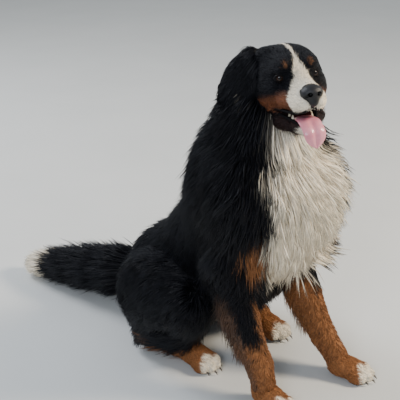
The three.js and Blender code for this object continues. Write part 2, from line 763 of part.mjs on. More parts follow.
const pawSolid = paw(0);
const pawSwollen = paw(GAP);
bothSides((s) => {
  const side = s < 0 ? "right" : "left";
  const own = legCores[s < 0 ? 0 : 1];
  const { elbow, forearm, wrist, pastern } = forelegJoints(s);
  const { knee, hock, foot } = hindJoints(s);
  const frontPaw = moved(pawSwollen, PAW_PLACES[`forepaw_${side}`]);
  const backPaw = moved(pawSwollen, PAW_PLACES[`hindpaw_${side}`]);
  const legLine = lineThrough(elbow, forearm, wrist, pastern);
  const feathers = lockRows({ line: legLine, core: own.foreleg, ...FEATHERS, seed: 61 + s }, 0);
  const foreleg = joined([castSkin(legLine, 7, 9, own.foreleg), ...feathers]);
  solids[`foreleg_${side}`] = clear(foreleg, trunkAll, frontPaw);
  const thighSwollen = thigh(s, GAP);
  solids[`thigh_${side}`] = clear(aboveFloor(thigh(s, 0)), trunkAll);
  const shank = castSkin(lineThrough(knee, hock), 4, 8, own.shank, 0, 1);
  const heel = castSkin(lineThrough(hock, foot), 3, 8, own.shank, 0, 1);
  solids[`shank_${side}`] = clear(aboveFloor(shank.add(heel)), trunkAll, thighSwollen, backPaw);
  for (const name of [`forepaw_${side}`, `hindpaw_${side}`])
    solids[name] = clear(moved(pawSolid, PAW_PLACES[name]), trunkAll, thighSwollen);
});

// The scene graph

const LOOKS = {
  tan: ["jaw", "foreleg_right", "foreleg_left", "shank_right", "shank_left", ...Object.keys(PAW_PLACES)],
  white: ["bib", "tail_tip"],
  tongue: ["tongue"],
  nose: ["nose"],
  eye: ["eye_right", "eye_left"],
};
const lookOf = (name) => Object.keys(LOOKS).find((look) => LOOKS[look].includes(name)) ?? "black";
const ROUGH = { tongue: 0.35, nose: 0.4, eye: 0.08 };
const dog = new THREE.Group();
dog.position.copy(point(...SEAT_AT).negate());
const headGroup = new THREE.Group();
HEAD.decompose(headGroup.position, headGroup.quaternion, headGroup.scale);
dog.add(headGroup);

function addMesh(group, name, geometry) {
  const look = lookOf(name);
  const material = new THREE.MeshStandardMaterial({
    color: COLOURS[look],
    roughness: ROUGH[look] ?? 0.75,
    metalness: 0,
  });
  const mesh = new THREE.Mesh(geometry, material);
  mesh.name = name;
  group.add(mesh);
  return mesh;
}

function addAll(group, named) {
  for (const [name, solid] of Object.entries(named)) {
    const at = PAW_PLACES[name] ?? EAR_PLACES[name];
    const mesh = addMesh(group, name, geometryOf(solid));
    if (!at) continue;
    mesh.geometry.applyMatrix4(at.clone().invert());
    at.decompose(mesh.position, mesh.quaternion, mesh.scale);
  }
}
addAll(headGroup, headSolids);
addAll(dog, solids);

export default dog;
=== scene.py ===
"""The looks of a seated Bernese mountain dog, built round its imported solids.

The flesh is laid out in the dog's own frame in millimetres, with +Z up, -Y the way the chest faces and
+X the dog's left. Each part is a few named masses, melted into one another. The scene's origin is
the middle of the flat that the dog sits on.
"""

import math

import bpy
import numpy as np
from mathutils import Matrix, Vector, kdtree


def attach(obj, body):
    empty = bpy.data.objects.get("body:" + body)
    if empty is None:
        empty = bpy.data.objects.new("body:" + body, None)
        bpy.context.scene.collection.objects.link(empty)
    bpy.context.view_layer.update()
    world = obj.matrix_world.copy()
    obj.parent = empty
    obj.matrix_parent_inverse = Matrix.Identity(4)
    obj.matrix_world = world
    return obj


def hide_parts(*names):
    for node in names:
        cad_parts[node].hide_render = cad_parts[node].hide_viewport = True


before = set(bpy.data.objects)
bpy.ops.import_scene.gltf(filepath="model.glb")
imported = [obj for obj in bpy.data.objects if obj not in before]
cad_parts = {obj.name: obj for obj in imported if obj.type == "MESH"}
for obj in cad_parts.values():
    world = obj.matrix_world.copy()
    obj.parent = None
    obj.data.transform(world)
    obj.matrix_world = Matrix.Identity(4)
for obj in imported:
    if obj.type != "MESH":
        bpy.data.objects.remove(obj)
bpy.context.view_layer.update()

# Sizes, in millimetres in the dog's frame
SEAT = np.array([0.0, 222.0, 0.0])
SKULL_AT = (12, -146, 799)
HEAD_TURN = math.radians(-29.5)
HEAD_TILT = math.radians(-4.5)
HEAD_LIFT = math.radians(-11)
EYE_AT = (38, -64, 13)
EYE_RADIUS = 12
EYE_GAP = 0.3  # between an eyeball and its lids
EYE_LOOKS = 0.36  # radians outwards from straight ahead
LIP_THICK = 3.0
BODY_VOXEL = 7.2
HEAD_VOXEL = 2.4
FOOT_VOXEL = 3.2

CAMERA_AT = (-1431, -1366, 1322)
CAMERA_YAW = math.radians(43.8)
CAMERA_DOWN = math.radians(23.6)
CAMERA_LENS = 76.9


def linear(value):
    """An sRGB hex colour as linear red, green and blue."""
    parts = [((value >> shift) & 255) / 255 for shift in (16, 8, 0)]
    return np.array([c / 12.92 if c <= 0.04045 else ((c + 0.055) / 1.055) ** 2.4 for c in parts])


BLACK = linear(0x0B0B10)
TAN = linear(0x96643E)
WHITE = linear(0xF4E9D4)
BIB_WHITE = WHITE * 0.96 + linear(0xDCCBA8) * 0.04
BROWN = linear(0x35201A)
DUN = linear(0x6A5040)
# The coat's tan made darker, as painted shade, for the cheeks and the sides of the muzzle
TAN_IN_PAINTED_SHADE = linear(0x7A4A30)
SPECKLE = linear(0x6F6660)
MOUTH = linear(0x3A1518)
LIP = linear(0x0D0B0D)
EAR_LINING = linear(0x241A1A)
NOSE_TOP = linear(0x1C1C1F)
NOSE_FOOT = linear(0x121214)
# Black painted shade for the inside of the nostrils
NOSTRIL_SHADE = linear(0x040404)


def ease(start, stop, value):
    t = np.clip((value - start) / (stop - start), 0, 1)
    return t * t * (3 - 2 * t)


def unit(v):
    v = np.asarray(v, float)
    return v / np.maximum(np.linalg.norm(v, axis=-1, keepdims=True), 1e-9)


def metres(points):
    return (np.asarray(points, float) - SEAT) / 1000


# Masses: each gives points' rough distance from its surface, negative inside, and how to lay it out
class Mass:
    def __init__(self, depth, forms):
        self.depth = depth
        self.forms = forms

    def __call__(self, points):
        return self.depth(points)


def turned(turn, tilt, lift):
    spin = Matrix.Rotation(turn, 3, "Z") @ Matrix.Rotation(tilt, 3, "Y") @ Matrix.Rotation(lift, 3, "X")
    return np.array(spin)


def egg(centre, radii, pitch=0.0, turn=0.0):
    middle, r, spin = np.array(centre, float), np.array(radii, float), turned(turn, 0, pitch)

    def depth(points):
        q = (points - middle) @ spin
        near = np.linalg.norm(q / r, axis=-1)
        slope = np.maximum(np.linalg.norm(q / r**2, axis=-1), 1e-9)
        return near * (near - 1) / slope

    return Mass(depth, [("egg", middle, r, spin)])


def rod(start, stop, radius_start, radius_stop):
    a, b = np.array(start, float), np.array(stop, float)
    along = b - a

    def depth(points):
        t = np.clip((points - a) @ along / (along @ along), 0, 1)
        away = np.linalg.norm(points - a - t[..., None] * along, axis=-1)
        return away - (radius_start + (radius_stop - radius_start) * t)

    return Mass(depth, [("rod", a, b, radius_start, radius_stop)])


def melt(width, *masses):
    def depth(points):
        least = masses[0](points)
        for mass in masses[1:]:
            d = mass(points)
            share = np.maximum(width - np.abs(least - d), 0) / width
            least = np.minimum(least, d) - share * share * width / 4
        return least

    return Mass(depth, [form for mass in masses for form in mass.forms])


def carve(width, mass, cutter):
    """The mass with the cutter scooped out of it over a soft edge."""

    def depth(points):
        a, b = mass(points), -cutter(points)
        share = np.maximum(width - np.abs(a - b), 0) / width
        return np.maximum(a, b) + share * share * width / 4

    return Mass(depth, mass.forms)


def both_sides(make):
    """What is made for the right, -1, and for the left, 1."""
    return [make(-1), make(1)]


def eggs(centre, radii, pitch=0.0, turn=0.0):
    x, y, z = centre
    return both_sides(lambda s: egg((s * x, y, z), radii, pitch, s * turn))


def rods(start, stop, *radii):
    (x, y, z), (u, v, w) = start, stop
    return both_sides(lambda s: rod((s * x, y, z), (s * u, v, w), *radii))


def facing(mass, points, step=1.2):
    tips = np.array([(1, 1, 1), (1, -1, -1), (-1, 1, -1), (-1, -1, 1)], float)
    return unit(sum(tip * mass(points + step * tip)[..., None] for tip in tips))


class Place:
    """A part's own frame inside the dog's."""

    def __init__(self, at, spin):
        self.at = np.array(at, float)
        self.spin = spin

    def into(self, points):
        return (points - self.at) @ self.spin

    def out(self, points):
        return points @ self.spin.T + self.at

    def turn(self, ways):
        return ways @ self.spin.T


DOG = Place((0, 0, 0), np.eye(3))
HEAD = Place(SKULL_AT, turned(HEAD_TURN, HEAD_TILT, HEAD_LIFT))


def ear_place(at, tip, outwards):
    up = -unit(tip)
    across = unit(np.cross(up, outwards))
    spin = np.stack([np.cross(across, up), across, up], axis=1)
    return Place(HEAD.out(np.array(at, float)), HEAD.spin @ spin)


EARS = {
    "right": ear_place((-60, 6, 56), (-0.6, 0.25, -0.78), (-0.62, -0.7, 0.25)),
    "left": ear_place((58, 34, 42), (0.22, 0.4, -0.9), (0.95, 0.22, 0.2)),
}
PAWS = {
    "fore_right": Place((-98, -218, 0), turned(-0.06, 0, 0)),
    "fore_left": Place((139, -272, 0), turned(0.42, 0, 0)),
    "hind_right": Place((-104, 40, 0), turned(0.12, 0, 0)),
    "hind_left": Place((151, 14, 0), turned(0.1, 0, 0)),
}

# Flesh
RIB_SLOPE = math.radians(30)
LOIN_SLOPE = math.radians(42)
trunk = melt(
    55,
    egg((0, -45, 450), (122, 128, 205), RIB_SLOPE),
    egg((0, -22, 570), (62, 62, 78)),
    egg((0, -118, 470), (92, 82, 122)),
    egg((0, 78, 312), (108, 112, 170), LOIN_SLOPE),
    egg((0, 212, 165), (118, 133, 138)),
    egg((0, 222, 96), (104, 112, 90)),
    *both_sides(lambda s: egg((s * 90, -98 - s * 12, 470), (50, 74, 125), 0.25)),
    rod((0, -54, 560), (4, -96, 700), 106, 80),
    rod((4, -96, 700), (8, -110, 752), 80, 64),
)


# The joints of each leg, on the dog's right, -1, and left, 1
FORELEG_JOINTS = {
    -1: ((-112, -92, 330), (-108, -140, 215), (-100, -188, 108), (-99, -204, 58)),
    1: ((112, -98, 325), (114, -152, 212), (121, -214, 104), (131, -250, 56)),
}
HINDLEG_JOINTS = {
    -1: ((-152, 12, 190), (-140, 178, 38), (-112, 62, 34)),
    1: ((152, 12, 190), (142, 182, 38), (150, 40, 34)),
}


def foreleg(s):
    elbow, forearm, wrist, pastern = FORELEG_JOINTS[s]
    return melt(
        14,
        egg(elbow, (44, 50, 56)),
        rod(elbow, forearm, 46, 36),
        rod(forearm, wrist, 36, 29),
        rod(wrist, pastern, 30, 29),
    )


def thigh(s):
    return melt(
        30,
        egg((s * 128, 140, 160), (58, 136, 112), 0.12),
        rod((s * 128, 90, 190), (s * 150, 14, 208), 72, 48),
    )


def shank(s):
    knee, hock, foot = HINDLEG_JOINTS[s]
    return melt(14, rod(knee, hock, 42, 27), rod(hock, foot, 28, 27))


TOES = ((-27, -40), (-10, -54), (10, -54), (27, -40))
paw = melt(
    7,
    egg((0, -8, 28), (34, 46, 26)),
    rod((0, 14, 34), (0, 20, 52), 30, 28),
    *[egg((x, y, 18), (12.5, 25, 17)) for x, y in TOES],
)
tail = melt(20, rod((-6, 300, 136), (-72, 555, 80), 42, 24), rod((-72, 555, 80), (-130, 748, 36), 24, 12))
TAIL_LINE = ((-6, 318, 136), (-38, 440, 104), (-72, 555, 80), (-106, 665, 54), (-130, 748, 36))


def at_place(mass, place):
    """A mass made in a part's own frame, read in the dog's frame."""
    forms = []
    for kind, *form in mass.forms:
        if kind == "egg":
            forms.append((kind, place.out(form[0]), form[1], place.spin @ form[2]))
        else:
            forms.append((kind, place.out(form[0]), place.out(form[1]), *form[2:]))
    return Mass(lambda points: mass(place.into(points)), forms)


forelegs = both_sides(foreleg)
thighs = both_sides(thigh)
shanks = both_sides(shank)
body = melt(22, trunk, *thighs, *forelegs, *shanks, tail)


# Head, in its own frame
def eye_line(s, across, height, reach):
    """A place on the eyeball's front: across runs from the inner corner, -1, to the outer, 1."""
    look = np.array([s * math.sin(EYE_LOOKS), -math.cos(EYE_LOOKS), 0.0])
    side = np.array([s * math.cos(EYE_LOOKS), math.sin(EYE_LOOKS), 0.0])
    yaw = across * 1.06
    direction = math.cos(yaw) * math.cos(height) * look + math.sin(yaw) * math.cos(height) * side
    direction = direction + np.array([0, 0, math.sin(height)])
    return np.array([s * EYE_AT[0], EYE_AT[1], EYE_AT[2]]) + reach * direction


def lid(s, arch, radius, reach):
    """One eyelid: a string of short rods from the inner corner of the eye to the outer."""
    stops = np.linspace(-1, 1, 8)
    places = [eye_line(s, a, arch * (1 - a * a) + 0.06 * a, reach) for a in stops]
    return [rod(places[i], places[i + 1], radius, radius) for i in range(7)]


LIP_CORNER = (54, -34, -57)
# Stops along the lips, from the middle to the corner
UPPER_LIP = ((0, -150, -44), (16, -146, -56), (30, -118, -61), (40, -88, -58), (50, -60, -54), (56, -38, -56))
LOWER_LIP = ((0, -127, -92), (17, -120, -90), (25, -98, -82), (33, -76, -75), (45, -54, -66), (56, -38, -58))


def lip(line, s, radius):
    places = [(s * x, y, z) for x, y, z in line]
    return [rod(places[i], places[i + 1], radius, radius) for i in range(len(places) - 1)]


upper_lips = melt(3, *[part for s in (-1, 1) for part in lip(UPPER_LIP, s, LIP_THICK)])
lower_lips = melt(3, *[part for s in (-1, 1) for part in lip(LOWER_LIP, s, LIP_THICK)])
eyeballs = melt(1, *eggs(EYE_AT, [EYE_RADIUS + EYE_GAP] * 3))
lids = melt(
    2,
    *[part for s in (-1, 1) for part in lid(s, 0.68, 3.3, 12.0)],
    *[part for s in (-1, 1) for part in lid(s, -0.68, 2.9, 11.8)],
)
mouth_room = egg((0, -86, -64), (25, 58, 20))
nose_leather = melt(6, egg((0, -152, -17), (24.5, 22, 18)), egg((0, -160, -33), (11, 11, 13)))
skull_flesh = melt(
    14,
    egg((0, 4, 21), (71, 86, 57)),
    egg((-42, 6, 62), (24, 30, 14)),
    *eggs((46, -18, -18), (33, 52, 42)),
    *eggs((27, -60, 36), (24, 26, 18)),
    egg((0, -62, 0), (33, 42, 34)),
    *eggs((38, -70, -33), (16, 40, 18)),
    rod((0, -82, -14), (0, -140, -20), 30, 24),
    *eggs((17, -116, -36), (23, 42, 25)),
)
nose_seat = Mass(lambda points: nose_leather(points) - 0.5, [])
corners = melt(3, *eggs(LIP_CORNER, (9, 9, 9)))
skull = carve(2, carve(6, melt(7, skull_flesh, upper_lips, corners), mouth_room), nose_seat)
skull = carve(1.2, melt(5, skull, lids), eyeballs)
jaw_flesh = melt(
    12,
    rod((0, 0, -60), (0, -66, -86), 40, 25),
    rod((0, -66, -86), (0, -112, -103), 25, 16),
    *eggs((33, -18, -60), (24, 40, 30), 0.3),
    *rods((19, -98, -100), (43, -46, -83), 8, 11),
)
jaw_room = egg((0, -84, -76), (19, 54, 14), -0.28)
jaw = carve(4, melt(6, jaw_flesh, lower_lips), jaw_room)

ear_hollow = egg((-14, 0, -56), (13, 36, 56))
ear = carve(6, melt(12, egg((0, 0, -56), (15, 45, 70)), egg((-4, 0, -6), (15, 36, 22))), ear_hollow)

nostrils = melt(
    2,
    *eggs((10.5, -172, -19), (5.4, 9, 4.6), turn=0.5),
    *rods((14, -170, -21), (23, -158, -26), 2.6, 1.6),
)
philtrum = rod((0, -176, -24), (0, -171, -46), 1.4, 1.7)
nose = carve(1.5, nose_leather, philtrum)


# Meshes
def clear_selection():
    if bpy.context.mode != "OBJECT":
        bpy.ops.object.mode_set(mode="OBJECT")
    bpy.ops.object.select_all(action="DESELECT")


def mesh_points(obj):
    points = np.empty(len(obj.data.vertices) * 3)
    obj.data.vertices.foreach_get("co", points)
    return points.reshape(-1, 3)


def set_points(obj, points):
    obj.data.vertices.foreach_set("co", np.asarray(points, float).ravel())
    obj.data.update()


def in_dog(obj):
    """A mesh's points in the dog's frame, in millimetres."""
    return mesh_points(obj) * 1000 + SEAT


def lay_form(kind, *form):
    """One rough form: an egg from a sphere, or a rod from a sphere drawn apart."""
    if kind == "egg":
        middle, radii, spin = form
        bpy.ops.mesh.primitive_uv_sphere_add(segments=24, ring_count=16, radius=1)
        made = bpy.context.object
        stretch = spin @ np.diag(radii) / 1000
    else:
        middle, end, radius_start, radius_end = form
        bpy.ops.mesh.primitive_uv_sphere_add(segments=20, ring_count=12, radius=1)
        made = bpy.context.object
        along = unit(end - middle)
        side = unit(np.cross(along, (0.31, 0.87, 0.38)))
        points = mesh_points(made)
        far = points[:, 2] > 0
        points *= np.where(far, radius_end, radius_start)[:, None]
        points[far, 2] += np.linalg.norm(end - middle)
        set_points(made, points)
        stretch = np.stack([side, np.cross(along, side), along], axis=1) / 1000
    set_points(made, mesh_points(made) @ stretch.T + metres(middle))
    return made


def join(pieces, name):
    clear_selection()
    for piece in pieces:
        piece.select_set(True)
    bpy.context.view_layer.objects.active = pieces[0]
    if len(pieces) > 1:
        bpy.ops.object.join()
    made = bpy.context.view_layer.objects.active
    made.name = made.data.name = name
    return made


def apply(obj, kind, **settings):
    clear_selection()
    obj.select_set(True)
    bpy.context.view_layer.objects.active = obj
    modifier = obj.modifiers.new(kind.title(), kind)
    for key, value in settings.items():
        setattr(modifier, key, value)
    bpy.ops.object.modifier_apply(modifier=modifier.name)


def model(name, mass, voxel, rounds=4, relax=1):
    """Rough forms joined, remeshed into one skin, then settled on the melted surface."""
    clear_selection()
    made = join([lay_form(*form) for form in mass.forms], name)
    apply(made, "REMESH", mode="VOXEL", voxel_size=voxel / 1000, use_smooth_shade=True)
    apply(made, "SMOOTH", factor=0.5, iterations=3)
    for i in range(rounds):
        points = in_dog(made)
        points -= facing(mass, points) * np.clip(mass(points), -4 * voxel, 4 * voxel)[:, None]
        set_points(made, metres(points))
        if i < rounds - 1:
            apply(made, "SMOOTH", factor=0.5, iterations=relax)
    return made


def sink_under(obj, cover, deep, spare=None):
    """Draws a skin's places that would show through another part below its surface."""
    points = in_dog(obj)
    above = cover(points)
    hidden = above < 0.8
    if spare is not None:
        hidden &= spare(points) > 0.5
    points[hidden] -= facing(cover, points[hidden]) * (above[hidden] + deep)[:, None]
    set_points(obj, metres(points))


def rest_on_floor(obj, flat=0.003):
    """Presses the lowest 3 mm of a skin flat on the floor."""
    points = mesh_points(obj)
    points[:, 2] = np.where(points[:, 2] < flat, 0, points[:, 2])
    set_points(obj, points)


# Markings: the colour of the coat at places on the skin
def blend(colour, other, share):
    return colour + (other - colour) * share[:, None]


def near(points, centre, radii, soft=0.35):
    """1 inside an egg-shaped patch, falling to 0 over a soft edge."""
    away = np.linalg.norm((points - np.array(centre)) / np.array(radii), axis=1)
    return 1 - ease(1 - soft, 1 + soft, away)


def ragged(points, size, seed=0.0):
    """A smooth uneven value between -1 and 1 that breaks up the edge of a marking."""
    x, y, z = (points / size + seed).T
    swell = np.sin(x * 1.7 + 2 * np.sin(y)) + np.sin(y * 1.9 + 2 * np.sin(z))
    return (swell + np.sin(z * 2.1 + 2 * np.sin(x))) / 3


def body_marking(points):
    colour = np.tile(BLACK, (len(points), 1))
    x, y, z = points.T
    edge = ragged(points, 34) * 9
    for s in (-1, 1):
        chest = near(points, (s * 98, -160, 466), (20, 42, 48))
        colour = blend(colour, TAN, chest)
    half = np.interp(z, (230, 280, 350, 450, 550, 640, 700, 740), (20, 46, 74, 88, 86, 62, 46, 38))
    middle = np.interp(z, (280, 450, 600, 740), (6, 14, 8, -6))
    bib = ease(10, -10, np.abs(x - middle) - half + edge) * ease(-96, -126, y + 0.4 * edge)
    colour = blend(colour, BIB_WHITE, bib)
    on_leg = (np.minimum(forelegs[0](points), forelegs[1](points)) < 12) * (y < 20)
    way = facing(body, points, 4)
    inner_front = -np.sign(x) * way[:, 0] * 0.72 - way[:, 1] * 0.69
    black_to = np.where(x < 0, 168, 236)
    legs = ease(16, -16, z - black_to + edge) * on_leg
    stripe = ease(0.62, 0.86, inner_front) * ease(280, 250, z + edge) * on_leg
    colour = blend(colour, TAN, np.maximum(legs, stripe))
    feathers = ease(-0.25, -0.7, inner_front) * ease(300, 230, z + edge) * on_leg
    colour = blend(colour, DUN, feathers * 0.75)
    on_shank = np.minimum(shanks[0](points), shanks[1](points)) < 8
    bared = ease(-2, 8, np.minimum(thighs[0](points), thighs[1](points)))
    colour = blend(colour, TAN, on_shank * bared * ease(96, 66, z + edge) * ease(150, 100, y))
    tip = ease(612, 650, y + edge)
    return blend(colour, WHITE, tip)


def paw_marking(points):
    """Tan above and white at the toes, in the paw's own frame."""
    colour = np.tile(TAN, (len(points), 1))
    y, z = points.T[1:]
    white = ease(6, -6, y + 46 + ragged(points, 14) * 8 - 0.25 * (z - 20))
    colour = blend(colour, WHITE, white)
    return blend(colour, LIP, ease(5, 2, z))


def head_marking(points):
    colour = np.tile(BLACK, (len(points), 1))
    x, y, z = points.T
    edge = ragged(points, 13) * 2.4
    for s in (-1, 1):
        # The cheeks and the muzzle below them take the tan darkened as painted shade
        cheek = near(points, (s * 58, -44, -42), (30, 44, 21))
        colour = blend(colour, TAN_IN_PAINTED_SHADE, cheek)
        under = near(points, (s * 38, -92, -38), (22, 40, 20))
        colour = blend(colour, TAN_IN_PAINTED_SHADE, under)
        colour = blend(colour, TAN, near(points, (s * 28, -74, 38), (7.5, 11, 8)))
    jaw_side = near(points, (0, -30, -92), (64, 80, 34))
    colour = blend(colour, BROWN, jaw_side * 0.85)
    half = np.interp(-y, (-60, -10, 30, 60, 80, 92), (4, 3.5, 3, 4, 8, 16))
    blaze = ease(2, -2, np.abs(x) - half + edge) * ease(-10, 6, z) * ease(16, 2, y)
    muzzle = ease(4, -4, y + 104 + edge + np.clip(-z - 4, 0, 40) * 0.5) * ease(-74, -66, z)
    colour = blend(colour, WHITE, np.maximum(blaze, muzzle))
    spots = ease(0.62, 0.9, ragged(points, 5.5, 3.1)) * ease(-100, -112, y) * ease(-28, -36, z)
    colour = blend(colour, SPECKLE, spots * 0.7)
    chin = near(points, (0, -116, -104), (24, 22, 16))
    colour = blend(colour, WHITE * 0.85, chin)
    lips = np.minimum(upper_lips(points), np.minimum(lower_lips(points), corners(points)))
    colour = blend(colour, LIP, ease(3.2, 1.2, lips))
    inner = (mouth_room(points) < 1.5) | (jaw_room(points) < 1.5)
    colour = blend(colour, MOUTH, inner.astype(float))
    rim = ease(2.2, 0.8, lids(points))
    colour = blend(colour, LIP, rim)
    buried = np.minimum(eyeballs(points), nose_leather(points)) < 1.2
    return blend(colour, LIP, buried.astype(float))


def ear_marking(points):
    colour = np.tile(BLACK, (len(points), 1))
    hollow = ease(2, -2, ear_hollow(points) - 1)
    return blend(colour, EAR_LINING, hollow * 0.8)


def nose_marking(points):
    """Darker towards the lip, and black painted shade in the nostrils."""
    colour = np.tile(NOSE_TOP, (len(points), 1))
    colour = blend(colour, NOSE_FOOT, ease(-12, -34, points[:, 2]))
    # Painted shade: near-black inside the nostrils
    return blend(colour, NOSTRIL_SHADE, ease(2.4, 0.6, nostrils(points)))


def set_marking(data, colour):
    layer = data.color_attributes.new("marking", "FLOAT_COLOR", "POINT")
    layer.data.foreach_set("color", np.c_[colour, np.ones(len(colour))].ravel())


def paint(obj, place, marking):
    set_marking(obj.data, marking(place.into(in_dog(obj))))


body_skin = model("body_skin", body, BODY_VOXEL)
rest_on_floor(body_skin)
paint(body_skin, DOG, body_marking)
skull_in_dog = at_place(skull, HEAD)
jaw_in_dog = at_place(jaw, HEAD)
skull_skin = model("skull_skin", skull_in_dog, HEAD_VOXEL, rounds=5)
paint(skull_skin, HEAD, head_marking)
sink_under(skull_skin, at_place(nose_leather, HEAD), 10)
sink_under(skull_skin, at_place(eyeballs, HEAD), 3, spare=at_place(lids, HEAD))
jaw_skin = model("jaw_skin", jaw_in_dog, HEAD_VOXEL, rounds=5)
paint(jaw_skin, HEAD, head_marking)
ear_skins = {}
for side, place in EARS.items():
    ear_skins[side] = model(f"ear_skin_{side}", at_place(ear, place), FOOT_VOXEL, rounds=5)
    paint(ear_skins[side], place, ear_marking)
paw_skins = {}
for where, place in PAWS.items():
    paw_skins[where] = model(f"paw_skin_{where}", at_place(paw, place), FOOT_VOXEL)
    rest_on_floor(paw_skins[where])
    paint(paw_skins[where], place, paw_marking)

# Coat: tapered tufts rooted on the skins
RNG = np.random.default_rng(7)
# Where the trunk's coat is parted: lengthways for the backs, and in height for the feet
BIB_BACK = -118
BIB_FOOT = 240
RUFF_FOOT = 560
FLANK_BACK = 60
FLANK_FOOT = 150
# The shares of a tuft's length where it has a ring of points, for long, shorter and short hair
LONG = (0, 0.34, 0.68, 1)
FIRM = (0, 0.45, 1)
SHORT = (0, 0.5, 1)
ROOT_DEPTH = 1.5
TUFT_FLATNESS = 0.45
# A tuft's tip is painted lighter than its own colour, as a painted sheen
TIP_PAINTED_SHEEN = 1.12
PATCH = 0.0015  # half a tuft's patch on the unwrap


def triangles_of(obj):
    obj.data.calc_loop_triangles()
    index = np.empty(len(obj.data.loop_triangles) * 3, int)
    obj.data.loop_triangles.foreach_get("vertices", index)
    return in_dog(obj)[index.reshape(-1, 3)]


def roots_on(obj, count, wanted):
    """Evenly drawn places on a skin, kept in number by how much each place is wanted, from 0 to 1."""
    corners = triangles_of(obj)
    area = np.linalg.norm(np.cross(corners[:, 1] - corners[:, 0], corners[:, 2] - corners[:, 0]), axis=1) / 2
    weight = area * wanted(corners.mean(axis=1))
    pick = RNG.choice(len(corners), count, p=weight / weight.sum())
    u, v = np.sqrt(RNG.random(count)), RNG.random(count)
    a, b, c = corners[pick].transpose(1, 0, 2)
    return (1 - u)[:, None] * a + (u * (1 - v))[:, None] * b + (u * v)[:, None] * c


def grow(mass, roots, lie, length, height, wave=0.0, clump=0.5, guides=14, shares=LONG, loose=0.16):
    """Paths of tufts, as points for each share of their length, at a height over the skin."""
    count = len(roots)
    length = np.broadcast_to(length, count) * RNG.uniform(0.75, 1.2, count)
    height = np.broadcast_to(height, count) * RNG.uniform(0.55, 1.15, count)
    stray = RNG.random(count) < 0.03
    height = np.where(stray, height * 1.35, height)
    swing = RNG.normal(0, loose, (count, 3))
    phase = ragged(roots, 42) * 3 + RNG.uniform(0, 0.8, count)
    at = roots.copy()
    path = [roots - facing(mass, roots) * ROOT_DEPTH]
    before = 0.0
    for share in shares[1:]:
        out = facing(mass, at)
        way = lie(at) + swing * share
        way = unit(way - out * np.sum(way * out, axis=1, keepdims=True))
        at = at + way * ((share - before) * length)[:, None]
        before = share
        out = facing(mass, at)
        rise = height * share**0.8
        for _ in range(2):
            at = at + out * (rise - mass(at))[:, None]
        if wave:
            across = np.cross(way, out)
            at = at + across * (wave * np.sin(phase + share * 5.2) * share)[:, None]
        at[:, 2] = np.maximum(at[:, 2], 2.0)
        path.append(at)
    path = np.stack(path, axis=1)
    leaders = RNG.choice(count, max(count // guides, 1), replace=False)
    tree = kdtree.KDTree(len(leaders))
    for i, leader in enumerate(leaders):
        tree.insert(roots[leader], i)
    tree.balance()
    nearest = leaders[[tree.find(root)[1] for root in roots]]
    pull = clump * np.array(shares)[None, :, None] ** 1.3 * RNG.uniform(0.6, 1, (count, 1, 1))
    return path + (path[nearest] - path) * pull


def tuft_taper(share):
    """A tuft's width at a share of its length."""
    return np.interp(share, LONG, (0.75, 1, 0.66, 0))


def tuft_faces(rings):
    """The triangles of one closed three-sided tuft: its root, its sides and its tip."""
    faces = [(0, 1, 2)]
    for r in range(rings - 1):
        for c in range(3):
            a, b = r * 3 + c, r * 3 + (c + 1) % 3
            faces += [(a, b + 3, b), (a, a + 3, b + 3)]
    top = (rings - 1) * 3
    for c in range(3):
        faces.append((top + c, top + 3, top + (c + 1) % 3))
    return np.array(faces)


def lay_triangles(name, points, faces):
    data = bpy.data.meshes.new(name)
    data.vertices.add(len(points))
    data.vertices.foreach_set("co", metres(points).ravel())
    data.loops.add(faces.size)
    data.loops.foreach_set("vertex_index", faces.ravel())
    data.polygons.add(len(faces))
    data.polygons.foreach_set("loop_start", np.arange(0, faces.size, 3))
    data.polygons.foreach_set("loop_total", np.full(len(faces), 3))
    data.polygons.foreach_set("use_smooth", np.ones(len(faces), bool))
    data.update(calc_edges=True)
    return data


def tufts(name, mass, paths, width, colours, unwrap, shares):
    """One mesh of closed three-sided tufts, each a patch of the unwrap at its root."""
    count, rings = paths.shape[0], len(shares) - 1
    along = unit(np.gradient(paths, axis=1))
    out = facing(mass, paths[:, 0])
    across = unit(np.cross(along, out[:, None, :]))
    rise = np.cross(across, along) * TUFT_FLATNESS
    width = np.broadcast_to(width, count) * RNG.uniform(0.75, 1.25, count)
    points = np.empty((count, rings * 3 + 1, 3))
    for r in range(rings):
        wide = (width * tuft_taper(shares[r]))[:, None]
        for c, (sideways, up) in enumerate(((-0.5, -0.5), (0.5, -0.5), (0.0, 0.5))):
            points[:, r * 3 + c] = paths[:, r] + wide * (across[:, r] * sideways + rise[:, r] * up)
    points[:, -1] = paths[:, -1]
    starts = np.arange(count) * (rings * 3 + 1)
    faces = (tuft_faces(rings)[None] + starts[:, None, None]).reshape(-1, 3)
    points = points.reshape(-1, 3)
    points[:, 2] = np.maximum(points[:, 2], 0.6)
    data = lay_triangles(name, points, faces)
    # Painted shade darkens each tuft towards its root: white hair stays light to its roots, and black hair is
    # darkest there. A painted sheen lightens every tuft towards its tip.
    shade = RNG.uniform(0.72, 1.22, (count, 1, 1))
    step = np.repeat(np.array(shares), [3] * rings + [1])[None, :, None]
    root_painted_shade = 0.55 + 0.4 * colours.max(axis=1)[:, None, None]
    tint = colours[:, None, :] * shade * (root_painted_shade + (TIP_PAINTED_SHEEN - root_painted_shade) * step)
    set_marking(data, tint.reshape(-1, 3))
    layer = data.uv_layers.new(name="OFBake")
    spot = unwrap(paths[:, 0]) * 0.97 + 0.015
    patch = np.array([(-PATCH, -PATCH), (PATCH, -PATCH), (0.0, PATCH)])
    uv = spot[:, None, :] + np.vstack([np.tile(patch, (rings, 1)), [[0, 0]]])[None]
    layer.data.foreach_set("uv", uv.reshape(-1, 2)[faces.ravel()].ravel())
    made = bpy.data.objects.new(name, data)
    bpy.context.collection.objects.link(made)
    return made


